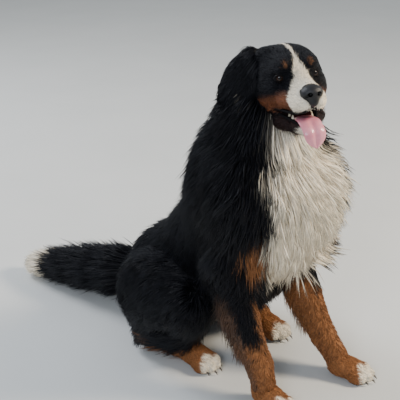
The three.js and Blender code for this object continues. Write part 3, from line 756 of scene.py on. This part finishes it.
def round_line(line):
    """An unwrap round a line: how far along it, and the angle round it."""
    line = np.array(line, float)
    legs = np.diff(line, axis=0)
    lengths = np.linalg.norm(legs, axis=1)
    starts = np.r_[0, np.cumsum(lengths)]

    def unwrap(points):
        best, along, away = np.full(len(points), 1e9), np.zeros(len(points)), np.zeros((len(points), 3))
        for i, leg in enumerate(legs):
            t = np.clip((points - line[i]) @ leg / (leg @ leg), 0, 1)
            gap = points - line[i] - t[:, None] * leg
            distance = np.linalg.norm(gap, axis=1)
            nearer = distance < best
            best = np.where(nearer, distance, best)
            along = np.where(nearer, starts[i] + t * lengths[i], along)
            away[nearer] = gap[nearer]
        main = unit(line[-1] - line[0])
        side = unit(np.cross(main, (0.2, 0.3, 0.93)))
        third = np.cross(main, side)
        angle = np.arctan2(away @ third, away @ side) / (2 * np.pi) + 0.5
        return np.stack([angle, along / starts[-1]], axis=1)

    return unwrap


def round_line_at(place, *line):
    """An unwrap round a line in a part's own frame."""
    return round_line([place.out(np.array(stop, float)) for stop in line])


BACK_LINE = ((0, 290, 60), (0, 205, 170), (0, 105, 290), (0, 0, 400), (0, -70, 500))
NECK_LINE = ((4, -90, 690), (8, -110, 760))
unwrap_trunk = round_line(BACK_LINE + NECK_LINE)
unwrap_tail = round_line(TAIL_LINE)
unwrap_head = round_line_at(HEAD, (0, 70, 0), (0, -165, -30))


def trunk_lie(points):
    """Down and back over the trunk, fanning out down the bib, and back along the thighs."""
    x, y, z = points.T
    bib = ease(-90, -165, y)
    thigh_share = ease(300, 200, z) * ease(-40, 30, y)
    sideways = x * (0.0016 + 0.0055 * thigh_share) * (1 - bib) + (x * 0.0042 + 0.16) * bib
    back = 0.42 * (1 - bib) - 0.12 * bib + 0.3 * thigh_share
    down = -1 + 0.3 * thigh_share
    return unit(np.stack([sideways, back, down], axis=1))


def tail_lie(points):
    return unit(np.tile((-0.3, 0.94, -0.24), (len(points), 1)))


def limb_lie(points):
    return unit(np.tile((0.0, 0.16, -1.0), (len(points), 1)))


def head_lie(points):
    """Back from the nose over the face, and down over the cheeks and the jaw."""
    x, y, z = HEAD.into(points).T
    cheek = ease(20, -30, z) * ease(-110, -40, y)
    over_ear = ease(14, 40, np.abs(x)) * ease(-30, 0, y) * ease(30, 50, z)
    sideways = x * 0.004 + np.sign(x) * 1.2 * over_ear
    way = np.stack([sideways, 1 - 0.6 * over_ear, 0.25 - 1.1 * cheek - 0.9 * over_ear], axis=1)
    return unit(HEAD.turn(way))


head_flesh = melt(8, at_place(skull_flesh, HEAD), at_place(jaw_flesh, HEAD))


def outside_head(points):
    return ease(-2, 3, head_flesh(points))


COATS = []


def dress(name, under, mass, count, wanted, lie, length, height, width, marking, unwrap, mixing=2, **manner):
    """Grows one piece of coat. Its length, height and width are values, or follow from the roots."""
    roots = roots_on(under, count, wanted)
    length, height, width = [size(roots) if callable(size) else size for size in (length, height, width)]
    paths = grow(mass, roots, lie, length, height, **manner)
    spread = RNG.normal(0, mixing, roots.shape)
    shares = manner.get("shares", LONG)
    COATS.append(tufts(name, mass, paths, width, marking(roots + spread), unwrap, shares))


def ruff_share(points):
    return ease(470, 600, points[:, 2])


def is_leg(points):
    legs = np.minimum.reduce([m(points) for m in (*forelegs, *shanks)])
    rest = np.minimum.reduce([m(points) for m in (trunk, *thighs)])
    return (legs < 3) & (rest > 6)


def is_tail(points):
    return (tail(points) < 4) & (points[:, 1] > 330)


def long_height(points):
    """The coat stands highest on the bib and the ruff, and lies close at the floor."""
    x, y, z = points.T
    bib = ease(-90, -165, y) * ease(680, 600, z)
    high = 27 + 15 * ruff_share(points) * ease(800, 720, z) + 22 * bib
    left_ruff = 12 * ease(20, 70, x) * ease(600, 680, z)
    return (high + 26 * bib * ease(20, 110, x) + left_ruff) * ease(8, 60, z)


def long_length(points):
    """The coat is longest low on the bib, and shortens towards the head."""
    y, z = points.T[1:]
    bib = ease(-90, -165, y)
    low_bib = ease(-110, -150, y) * ease(420, 330, z)
    return (78 + 26 * np.maximum(ruff_share(points), bib) + 34 * low_bib) * (0.55 + 0.45 * ease(790, 700, z))


def bib_part(y, z):
    return (y < BIB_BACK) & (z > BIB_FOOT)


def ruff_part(y, z):
    return (y >= BIB_BACK) & (z > RUFF_FOOT)


def flank_part(y, z):
    return (y >= BIB_BACK) & (z <= RUFF_FOOT) & (y < FLANK_BACK) & (z > FLANK_FOOT)


def rump_part(y, z):
    return ((y >= FLANK_BACK) | (z <= FLANK_FOOT)) & ~bib_part(y, z)


def trunk_wanted(part, s):
    """Where a part of the trunk's coat grows, on the right, -1, the left, 1, or both, 0."""

    def wanted(points):
        x, y, z = points.T
        on_side = {-1: x < 0, 0: x == x, 1: x >= 0}[s]
        keep = ~is_leg(points) & ~is_tail(points) & (z > 6)
        return keep * (part(y, z) & on_side) * outside_head(points)

    return wanted


for name, count, part, s, width, wave, shares in (
    ("coat_bib", 11000, bib_part, 0, 4.2, 7.0, LONG),
    ("coat_ruff_right", 7400, ruff_part, -1, 3.6, 4.0, LONG),
    ("coat_ruff_left", 5400, ruff_part, 1, 3.8, 4.0, LONG),
    ("coat_flank_right", 16000, flank_part, -1, 3.2, 3.0, FIRM),
    ("coat_flank_left", 9500, flank_part, 1, 3.6, 3.0, FIRM),
    ("coat_rump_right", 14700, rump_part, -1, 3.2, 2.4, FIRM),
    ("coat_rump_left", 8600, rump_part, 1, 3.7, 2.4, FIRM),
):
    wanted = trunk_wanted(part, s)
    manner = dict(mixing=4, wave=wave, clump=0.62, shares=shares)
    sizes = (long_length, long_height, width)
    dress(name, body_skin, body, count, wanted, trunk_lie, *sizes, body_marking, unwrap_trunk, **manner)


def tail_length(points):
    return 96 * (0.7 + 0.3 * ease(780, 560, points[:, 1]))


def tail_height(points):
    """The tail is full above, and thin where it rests on the floor."""
    return 22 + 34 * ease(20, 100, points[:, 2])


sizes = (tail_length, tail_height, 4.2)
manner = dict(wave=3.0, clump=0.5)
dress("coat_tail", body_skin, tail, 6200, is_tail, tail_lie, *sizes, body_marking, unwrap_tail, **manner)


def feathering(points):
    """How far a place is on the back of a forearm, from 0 to 1."""
    y, z = points.T[1:]
    return np.where(y < 40, ease(0.1, 0.8, facing(body, points)[:, 1]), 0) * ease(105, 170, z)


def leg_length(points):
    return 17 + 60 * feathering(points)


def leg_height(points):
    return 4.5 + 38 * feathering(points)


def leg_wanted(s):
    """Where one side's legs are dressed, the right's, -1, or the left's, 1."""
    return lambda points: is_leg(points) * ease(20, 40, points[:, 2]) * (points[:, 0] * s > 0)


def unwrap_legs(s):
    """A foreleg's unwrap on the left half of the map, and its hind leg's on the right."""
    fore = round_line(((s * 112, -95, 330), (s * 108, -160, 200), (s * 110, -230, 40)))
    hind = round_line(((s * 152, 12, 190), (s * 141, 180, 36), (s * 130, 50, 30)))

    def unwrap(points):
        behind = points[:, 1] > -20
        uv = np.where(behind[:, None], hind(points), fore(points))
        uv[:, 0] = uv[:, 0] / 2 + 0.5 * behind
        return uv

    return unwrap


for s, side in ((-1, "right"), (1, "left")):
    sizes = (leg_length, leg_height, 2.6)
    manner = dict(mixing=5, shares=FIRM, clump=0.4, guides=8)
    name, wanted = f"coat_legs_{side}", leg_wanted(s)
    dress(name, body_skin, body, 6400, wanted, limb_lie, *sizes, body_marking, unwrap_legs(s), **manner)


def paw_wanted(points):
    return ease(5, 9, points[:, 2])


def dress_paw(where, place):
    """Short hair combed down over the toes."""

    def lie(points):
        return np.tile(unit(place.turn(np.array([[0, -1.0, -0.5]]))), (len(points), 1))

    def marking(roots):
        return paw_marking(place.into(roots))

    fur = at_place(paw, place)
    unwrap = round_line_at(place, (0, 40, 28), (0, -80, 20))
    sizes = (12, 2.6, 2.0)
    manner = dict(shares=SHORT, clump=0.35, guides=6, loose=0.3)
    under = paw_skins[where]
    dress(f"coat_paw_{where}", under, fur, 1600, paw_wanted, lie, *sizes, marking, unwrap, **manner)


for where, place in PAWS.items():
    dress_paw(where, place)


# Head hair
def haired(points):
    """0 on the lips, the lids, the nose and inside the mouth, and 1 where hair grows."""
    local = HEAD.into(points)
    lips = np.minimum(upper_lips(local), lower_lips(local))
    grows = ease(0.4, 1.6, lips) * (lids(local) > 0.3) * ease(1, 2.4, nose_leather(local))
    x, y, z = local.T
    under_tongue = (np.abs(x) < 28) & (y < -35) & (z > -98) & (z < -62)
    return grows * (mouth_room(local) > 2) * (jaw_room(local) > 2) * (eyeballs(local) > 2.4) * ~under_tongue


def by_eye(points):
    """Hair is shortest beside the eyelids: a share of its full length."""
    return 0.3 + 0.7 * ease(1, 15, lids(HEAD.into(points)))


def face_short(points):
    """How short the hair is, growing to 1 at the muzzle."""
    return ease(-20, -95, HEAD.into(points)[:, 1])


def mane(points):
    """Long hair behind the cheeks and under the ears, from 0 to 1."""
    local = HEAD.into(points)
    y, z = local.T[1:]
    at_ears = np.maximum(near(local, (-58, 6, 50), (26, 28, 24)), near(local, (56, 30, 46), (24, 28, 24)))
    throat = ease(-70, -98, z) * ease(-100, -70, y)
    return np.maximum(ease(-24, 14, y) * ease(52, 10, z), np.maximum(0.8 * at_ears, 0.6 * throat))


def far_cheek(points):
    """The fuller hair low on the left cheek, from 0 to 1."""
    x, y, z = HEAD.into(points).T
    return ease(18, 42, x) * ease(-30, -64, z) * ease(-84, -50, y)


def head_wanted(other):
    def wanted(points):
        outside = ease(-3, 2, trunk(points)) * ease(-1, 2, other(points))
        return haired(points) * outside * (0.55 + 0.9 * face_short(points))

    return wanted


def head_length(points):
    full = 24 - 14 * face_short(points) + 36 * mane(points) + 26 * far_cheek(points)
    return full * by_eye(points)


def head_height(points):
    return 3.6 - 2.2 * face_short(points) + 13 * mane(points) + 16 * far_cheek(points)


def head_width(points):
    return 2.1 - 0.9 * face_short(points) + 1.1 * mane(points)


def head_marking_of(roots):
    return head_marking(HEAD.into(roots))


for name, under, mass, count, other in (
    ("coat_skull", skull_skin, skull_in_dog, 15500, at_place(jaw_flesh, HEAD)),
    ("coat_jaw", jaw_skin, jaw_in_dog, 5000, at_place(skull_flesh, HEAD)),
):
    sizes = (head_length, head_height, head_width)
    manner = dict(mixing=1.3, shares=SHORT, clump=0.3, guides=7, loose=0.22)
    wanted = head_wanted(other)
    dress(name, under, mass, count, wanted, head_lie, *sizes, head_marking_of, unwrap_head, **manner)


def dress_ear(side, place):
    """Hair combed down the flap and out over its two edges."""

    def wanted(points):
        x = place.into(points)[:, 0]
        return outside_head(points) * (0.25 + 0.75 * ease(-4, 4, x))

    def lie(points):
        y = place.into(points)[:, 1]
        return unit(place.turn(np.stack([0 * y, y * 0.012, -np.ones(len(y))], axis=1)))

    def length(points):
        return 50 + 18 * ease(-50, -100, place.into(points)[:, 2])

    def height(points):
        return 8 + 6 * ease(-50, -100, place.into(points)[:, 2])

    def marking(roots):
        return ear_marking(place.into(roots))

    flap = at_place(ear, place)
    unwrap = round_line_at(place, (0, 0, 10), (0, 0, -130))
    manner = dict(wave=3.0, clump=0.5, guides=10)
    name, under = f"coat_ear_{side}", ear_skins[side]
    dress(name, under, flap, 4200, wanted, lie, length, height, 3.2, marking, unwrap, **manner)


for side, place in EARS.items():
    dress_ear(side, place)

skin = join([body_skin, skull_skin, jaw_skin, *ear_skins.values(), *paw_skins.values()], "skin")

# Eyes, nose, tongue, teeth and claws
def make_eye(s, side):
    """An eyeball turned outwards. The cornea bulges a little at its front pole."""
    clear_selection()
    bpy.ops.mesh.primitive_uv_sphere_add(segments=48, ring_count=32, radius=EYE_RADIUS / 1000)
    ball = bpy.context.object
    ball.name = f"eye_{side}_ball"
    points = mesh_points(ball) * 1000
    bulge = 1 + 0.03 * ease(0.7, 1.0, points[:, 2] / EYE_RADIUS)
    turn = EYE_LOOKS - 0.06
    look = unit(np.array([s * math.sin(turn), -math.cos(turn), 0.04]))
    right = unit(np.cross((0, 0, 1), look))
    spin = np.stack([right, np.cross(look, right), look], axis=1)
    centre = np.array([s * EYE_AT[0], EYE_AT[1], EYE_AT[2]], float)
    set_points(ball, metres(HEAD.out((points * bulge[:, None]) @ spin.T + centre)))
    bpy.ops.object.shade_smooth()
    return ball, HEAD.out(centre), HEAD.turn(look)


eyes = {side: make_eye(s, side) for s, side in ((-1, "right"), (1, "left"))}

nose_piece = model("nose_leather", at_place(nose, HEAD), 1.2, rounds=5)
nostril_tool = model("nostril_tool", at_place(nostrils, HEAD), 0.9)
apply(nose_piece, "BOOLEAN", operation="DIFFERENCE", solver="EXACT", object=nostril_tool)
bpy.data.objects.remove(nostril_tool)
paint(nose_piece, HEAD, nose_marking)


def smooth_line(places, count):
    """Evenly spaced points on a smooth curve through places."""
    places = np.array(places, float)
    knots = np.r_[0, np.cumsum(np.linalg.norm(np.diff(places, axis=0), axis=1))]
    fine = np.linspace(0, knots[-1], 400)
    slopes = np.gradient(places, knots, axis=0)
    i = np.clip(np.searchsorted(knots, fine) - 1, 0, len(knots) - 2)
    h = (knots[i + 1] - knots[i])[:, None]
    t = ((fine - knots[i])[:, None]) / h
    a, b = places[i], places[i + 1]
    curve = (2 * t**3 - 3 * t**2 + 1) * a + (t**3 - 2 * t**2 + t) * h * slopes[i]
    curve = curve + (3 * t**2 - 2 * t**3) * b + (t**3 - t**2) * h * slopes[i + 1]
    walked = np.r_[0, np.cumsum(np.linalg.norm(np.diff(curve, axis=0), axis=1))]
    even = np.linspace(0, walked[-1], count)
    return np.stack([np.interp(even, walked, curve[:, k]) for k in range(3)], axis=1)


TONGUE_LINE = ((0, -44, -72), (0, -90, -78), (1, -122, -82), (3, -143, -102), (5, -142, -140))


def make_tongue():
    """A sphere drawn out along the tongue's line, flattened, with a furrow down its middle."""
    clear_selection()
    bpy.ops.mesh.primitive_uv_sphere_add(segments=48, ring_count=60, radius=1)
    made = bpy.context.object
    points = mesh_points(made)
    line = smooth_line(TONGUE_LINE, 200)
    share = np.arccos(np.clip(points[:, 2], -1, 1)) / np.pi
    share = 0.5 - 0.5 * np.cos(share * np.pi)
    spot = np.clip(share * 199, 0, 198.999)
    low = spot.astype(int)
    centre = line[low] + (line[low + 1] - line[low]) * (spot - low)[:, None]
    along = unit(np.gradient(line, axis=0))[low]
    side = unit(np.array([1.0, 0, 0]) - along * along[:, :1])
    up = np.cross(along, side)
    ring = points[:, :2] / np.maximum(np.linalg.norm(points[:, :2], axis=1, keepdims=True), 1e-6)
    ends = np.sqrt(np.clip(1 - (2 * share - 1) ** 8, 0, 1))
    tip = (1 - np.clip((share - 0.76) / 0.24, 0, 1) ** 2.3) ** 0.5
    half = (18 + 7 * ease(0, 0.6, share)) * tip * ends
    thick = 4.4 * ends * (1 - 0.35 * ease(0.7, 1, share))
    across, lift = ring[:, 0], ring[:, 1]
    furrow = 4.2 * np.exp(-((across * 4) ** 2)) * (lift > 0) * ease(0.46, 0.6, share) * ends
    curl = -3.5 * across**2 * ends * ease(0.3, 0.7, share)
    height = thick * lift - furrow + curl
    notch = 5 * np.exp(-((across * 3) ** 2)) * ease(0.8, 1, share)
    points = centre + side * (half * across)[:, None] + up * height[:, None] - along * notch[:, None]
    set_points(made, metres(HEAD.out(points)))
    made.name = "tongue_flesh"
    bpy.ops.object.mode_set(mode="EDIT")
    bpy.ops.mesh.select_all(action="SELECT")
    bpy.ops.mesh.normals_make_consistent(inside=False)
    bpy.ops.object.mode_set(mode="OBJECT")
    bpy.ops.object.shade_smooth()
    return made


tongue_piece = make_tongue()


def horn(root, tip, radius, bend, sides=10):
    """A curved, tapering point, from a cone drawn along a bent line in millimetres."""
    bpy.ops.mesh.primitive_cone_add(vertices=sides, radius1=1, radius2=0.2, depth=1, end_fill_type="NGON")
    made = bpy.context.object
    bpy.ops.object.mode_set(mode="EDIT")
    bpy.ops.mesh.select_all(action="SELECT")
    bpy.ops.mesh.subdivide(number_cuts=3)
    bpy.ops.object.mode_set(mode="OBJECT")
    points = mesh_points(made)
    root, tip, bend = np.array(root, float), np.array(tip, float), np.array(bend, float)
    t = points[:, 2] + 0.5
    along = unit(tip - root)
    side = unit(np.cross(along, (0.9, 0.1, 0.3)))
    third = np.cross(along, side)
    centre = root + (tip - root) * t[:, None] + bend * (4 * t * (1 - t))[:, None]
    swell = radius * (0.85 + 0.5 * t * (1 - t))
    points = centre + side * (points[:, 0] * swell)[:, None] + third * (points[:, 1] * swell)[:, None]
    set_points(made, points)
    return made


def horns(name, places):
    """Horns given in parts' own frames, joined as one piece."""
    clear_selection()
    made = []
    for place, root, tip, radius, bend in places:
        bpy.ops.object.select_all(action="DESELECT")
        one = horn(root, tip, radius, bend)
        set_points(one, metres(place.out(mesh_points(one))))
        made.append(one)
    piece = join(made, name)
    bpy.ops.object.shade_smooth()
    return piece


teeth = []
for s in (-1, 1):
    teeth.append((HEAD, (s * 14, -117, -98), (s * 15, -121, -81), 3.8, (0, -1.2, 0)))
    for i in range(5):
        x, y, z = s * (17 + i * 2.3), -104 + i * 12.5, -88 + i * 4.8
        teeth.append((HEAD, (x, y, z), (x, y, z + 9), 4.6 + i * 0.3, (0, 0, 0)))
    for i, x in enumerate((3, 8)):
        teeth.append((HEAD, (s * x, -122 + i, -103), (s * x, -123 + i, -94), 2.4, (0, 0, 0)))
teeth_piece = horns("teeth", teeth)
claws = []
for place in PAWS.values():
    for x, y in TOES:
        claws.append((place, (x, y - 17, 14), (x, y - 33, 4.5), 4.4, (0, -1, 3.0)))
claws_piece = horns("claws", claws)


# Materials
def node(tree, kind, settings=None, **links):
    """Adds a node. Settings are its own properties, and links are its inputs: values or sockets."""
    made = tree.nodes.new(kind)
    for key, value in (settings or {}).items():
        setattr(made, key, value)
    for key, value in links.items():
        numbered = key[0] == "i" and key[1:].isdigit()
        socket = made.inputs[int(key[1:])] if numbered else made.inputs[key.replace("_", " ")]
        if isinstance(value, bpy.types.NodeSocket):
            tree.links.new(value, socket)
        else:
            socket.default_value = value
    return made


def material(name):
    made = bpy.data.materials.new(name)
    made.use_nodes = True
    made.node_tree.nodes.clear()
    return made, made.node_tree


def set_stops(ramp, *stops):
    """Gives a colour ramp its stops, each a place and a colour."""
    elements = ramp.color_ramp.elements
    while len(elements) < len(stops):
        elements.new(1.0)
    for element, (at, colour) in zip(elements, stops):
        element.position = at
        element.color = (*linear(colour), 1)


def hair_material():
    """Dog hair: keratin with a soft broad gloss, blue-grey where black hair catches the sky."""
    made, tree = material("long_dog_hair")
    mark = node(tree, "ShaderNodeVertexColor", {"layer_name": "marking"})
    surface = node(
        tree,
        "ShaderNodeBsdfPrincipled",
        Base_Color=mark.outputs["Color"],
        Roughness=0.46,
        IOR=1.55,
        Specular_IOR_Level=0.13,
        Sheen_Weight=0.02,
        Sheen_Roughness=0.4,
        Sheen_Tint=(*linear(0xB9C4DA), 1),
    )
    node(tree, "ShaderNodeOutputMaterial", Surface=surface.outputs[0])
    return made


def skin_material():
    """Short dense undercoat over skin: the markings again, darker, with a fine nap and no gloss."""
    made, tree = material("undercoat")
    mark = node(tree, "ShaderNodeVertexColor", {"layer_name": "marking"}).outputs["Color"]
    place = node(tree, "ShaderNodeTexCoord").outputs["Object"]
    # Nap about 1.5 mm across, drawn out along the body
    stretch = node(tree, "ShaderNodeMapping", Vector=place, Scale=(620, 620, 170)).outputs[0]
    nap = node(tree, "ShaderNodeTexNoise", Vector=stretch, Scale=1.0, Detail=3.0).outputs["Fac"]
    shade = node(tree, "ShaderNodeMapRange", Value=nap, To_Min=0.6, To_Max=1.0).outputs[0]
    colour = node(tree, "ShaderNodeVectorMath", {"operation": "SCALE"}, Vector=mark, Scale=shade)
    relief = node(tree, "ShaderNodeBump", Height=nap, Strength=0.5, Distance=0.0012)
    surface = node(
        tree,
        "ShaderNodeBsdfPrincipled",
        Base_Color=colour.outputs[0],
        Normal=relief.outputs[0],
        Roughness=0.7,
        Specular_IOR_Level=0.12,
    )
    node(tree, "ShaderNodeOutputMaterial", Surface=surface.outputs[0])
    return made


def nose_material():
    """Nose leather: black skin in small raised pebbles, moist, so it glints in points."""
    made, tree = material("nose_leather")
    mark = node(tree, "ShaderNodeVertexColor", {"layer_name": "marking"}).outputs["Color"]
    place = node(tree, "ShaderNodeTexCoord").outputs["Object"]
    tone = node(tree, "ShaderNodeTexNoise", Vector=place, Scale=90.0).outputs["Fac"]
    shade = node(tree, "ShaderNodeMapRange", Value=tone, To_Min=0.6, To_Max=1.3).outputs[0]
    colour = node(tree, "ShaderNodeVectorMath", {"operation": "SCALE"}, Vector=mark, Scale=shade)
    # Pebbles about 1.2 mm across
    pebbles = node(tree, "ShaderNodeTexVoronoi", Vector=place, Scale=820.0).outputs["Distance"]
    relief = node(tree, "ShaderNodeBump", {"invert": True}, Height=pebbles, Strength=0.6, Distance=0.0005)
    surface = node(
        tree,
        "ShaderNodeBsdfPrincipled",
        Base_Color=colour.outputs[0],
        Normal=relief.outputs[0],
        Roughness=0.42,
        Specular_IOR_Level=0.35,
    )
    node(tree, "ShaderNodeOutputMaterial", Surface=surface.outputs[0])
    return made


def tongue_material():
    """Tongue: wet pink flesh that glows a little, uneven in tone, with fine papillae."""
    made, tree = material("wet_tongue")
    place = node(tree, "ShaderNodeTexCoord").outputs["Object"]
    tone = node(tree, "ShaderNodeTexNoise", Vector=place, Scale=60.0)
    colour = node(tree, "ShaderNodeValToRGB", Fac=tone.outputs["Fac"])
    set_stops(colour, (0.0, 0xC8707F), (1.0, 0xEBA3AE))
    papillae = node(tree, "ShaderNodeTexNoise", Vector=place, Scale=900.0, Detail=2.0).outputs["Fac"]
    relief = node(tree, "ShaderNodeBump", Height=papillae, Strength=0.35, Distance=0.0004)
    surface = node(
        tree,
        "ShaderNodeBsdfPrincipled",
        Base_Color=colour.outputs[0],
        Normal=relief.outputs[0],
        Roughness=0.32,
        Subsurface_Weight=0.2,
        Subsurface_Radius=(0.006, 0.002, 0.002),
        Coat_Weight=0.3,
    )
    node(tree, "ShaderNodeOutputMaterial", Surface=surface.outputs[0])
    return made


def clouded_material(name, pale, dark, rough, size, detail=3.0):
    """Tooth enamel, claw horn or floor paint: two close tones in soft clouds."""
    made, tree = material(name)
    place = node(tree, "ShaderNodeTexCoord").outputs["Object"]
    clouds = node(tree, "ShaderNodeTexNoise", Vector=place, Scale=size, Detail=detail)
    colour = node(tree, "ShaderNodeValToRGB", Fac=clouds.outputs["Fac"])
    set_stops(colour, (0.0, dark), (1.0, pale))
    surface = node(tree, "ShaderNodeBsdfPrincipled", Base_Color=colour.outputs[0], Roughness=rough)
    node(tree, "ShaderNodeOutputMaterial", Surface=surface.outputs[0])
    return made


PUPIL_EDGE = 0.34  # angles from the middle of the eye, in radians
IRIS_EDGE = 0.74
EYE_COLOURS = (
    (0.0, 0x050404),
    (PUPIL_EDGE, 0x050404),
    (PUPIL_EDGE + 0.04, 0x221108),
    (0.6, 0x2C170B),
    (IRIS_EDGE, 0x0C0705),
    (0.86, 0x15100E),
)


def eye_material(side, centre, look):
    """An eye: black pupil, dark brown iris with rays, dark edge, under a wet cornea."""
    made, tree = material(f"eye_{side}")
    vector, number = "ShaderNodeVectorMath", "ShaderNodeMath"
    middle = tuple(metres(centre))
    place = node(tree, "ShaderNodeTexCoord").outputs["Object"]
    out = node(tree, vector, {"operation": "SUBTRACT"}, i0=place, i1=middle).outputs[0]
    forward = node(tree, vector, {"operation": "DOT_PRODUCT"}, i0=out, i1=tuple(look)).outputs["Value"]
    length = node(tree, vector, {"operation": "LENGTH"}, i0=out).outputs["Value"]
    ratio = node(tree, number, {"operation": "DIVIDE"}, i0=forward, i1=length).outputs[0]
    angle = node(tree, number, {"operation": "ARCCOSINE"}, i0=ratio).outputs[0]
    rays = node(tree, "ShaderNodeTexNoise", Vector=place, Scale=700.0, Detail=3.0).outputs["Fac"]
    rayed = node(tree, number, {"operation": "MULTIPLY_ADD"}, i0=rays, i1=0.12, i2=angle)
    colour = node(tree, "ShaderNodeValToRGB", Fac=rayed.outputs[0])
    set_stops(colour, *EYE_COLOURS)
    surface = node(
        tree,
        "ShaderNodeBsdfPrincipled",
        Base_Color=colour.outputs[0],
        Roughness=0.06,
        Specular_IOR_Level=0.3,
        Coat_Weight=0.1,
        Coat_Roughness=0.02,
    )
    node(tree, "ShaderNodeOutputMaterial", Surface=surface.outputs[0])
    return made


hair = hair_material()
for piece in COATS:
    piece.data.materials.append(hair)
skin.data.materials.clear()
skin.data.materials.append(skin_material())
nose_piece.data.materials.append(nose_material())
tongue_piece.data.materials.append(tongue_material())
teeth_piece.data.materials.append(clouded_material("tooth_enamel", 0xF0E8D4, 0xD8C8A4, 0.25, 300.0))
claws_piece.data.materials.append(clouded_material("claw_horn", 0x4A4038, 0x1A1614, 0.35, 260.0))
for side, (ball, centre, look) in eyes.items():
    ball.data.materials.append(eye_material(side, centre, look))

# What each piece stands for
FLESH = [
    "head", "jaw", "ear_right", "ear_left", "neck", "bib", "chest", "loin", "rump", "tail", "tail_tip",
    "foreleg_right", "foreleg_left", "forepaw_right", "forepaw_left", "thigh_right", "thigh_left",
    "shank_right", "shank_left", "hindpaw_right", "hindpaw_left",
]
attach(skin, "root")
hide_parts(*FLESH)
for piece in COATS:
    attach(piece, "root")
for piece, node_name, slot in (
    (nose_piece, "nose", "nose_leather"),
    (tongue_piece, "tongue", "tongue"),
    (eyes["right"][0], "eye_right", "eye"),
    (eyes["left"][0], "eye_left", "eye"),
):
    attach(piece, "root")
    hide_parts(node_name)
for piece in (teeth_piece, claws_piece):
    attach(piece, "root")

# Floor, light and camera
clear_selection()
bpy.ops.mesh.primitive_plane_add(size=60, location=(0, 0, 0))
floor = bpy.context.object
floor.name = "floor"
floor_paint = clouded_material("studio_floor", 0xD3D4D1, 0xC9CBC8, 0.8, 3.0, detail=4.0)
floor.data.materials.append(floor_paint)


def area_light(name, at, towards, size, power, colour):
    data = bpy.data.lights.new(name, "AREA")
    data.shape = "DISK"
    data.size = size
    data.energy = power
    data.color = linear(colour)
    lamp = bpy.data.objects.new(name, data)
    bpy.context.collection.objects.link(lamp)
    lamp.location = at
    lamp.rotation_euler = (Vector(towards) - Vector(at)).to_track_quat("-Z", "Y").to_euler()


area_light("key", (2.2, -2.6, 2.8), (0, -0.3, 0.5), 1.1, 210, 0xFFEFD8)
area_light("fill", (-2.8, -1.6, 2.2), (0, -0.3, 0.4), 1.4, 55, 0xEAF1FF)
area_light("rim", (-0.8, 3.0, 2.8), (0, 0, 0.4), 2.0, 130, 0xF2F6FF)
world = bpy.data.worlds.new("studio")
bpy.context.scene.world = world
world.use_nodes = True
world.node_tree.nodes["Background"].inputs["Color"].default_value = (*linear(0xE4ECF4), 1)
world.node_tree.nodes["Background"].inputs["Strength"].default_value = 0.6

camera_data = bpy.data.cameras.new("camera")
camera_data.sensor_width = 36
camera_data.lens = CAMERA_LENS
camera = bpy.data.objects.new("camera", camera_data)
bpy.context.collection.objects.link(camera)
camera.location = Vector(metres(CAMERA_AT))
look_x = math.sin(CAMERA_YAW) * math.cos(CAMERA_DOWN)
look_y = math.cos(CAMERA_YAW) * math.cos(CAMERA_DOWN)
camera.rotation_euler = Vector((look_x, look_y, -math.sin(CAMERA_DOWN))).to_track_quat("-Z", "Y").to_euler()
bpy.context.scene.camera = camera
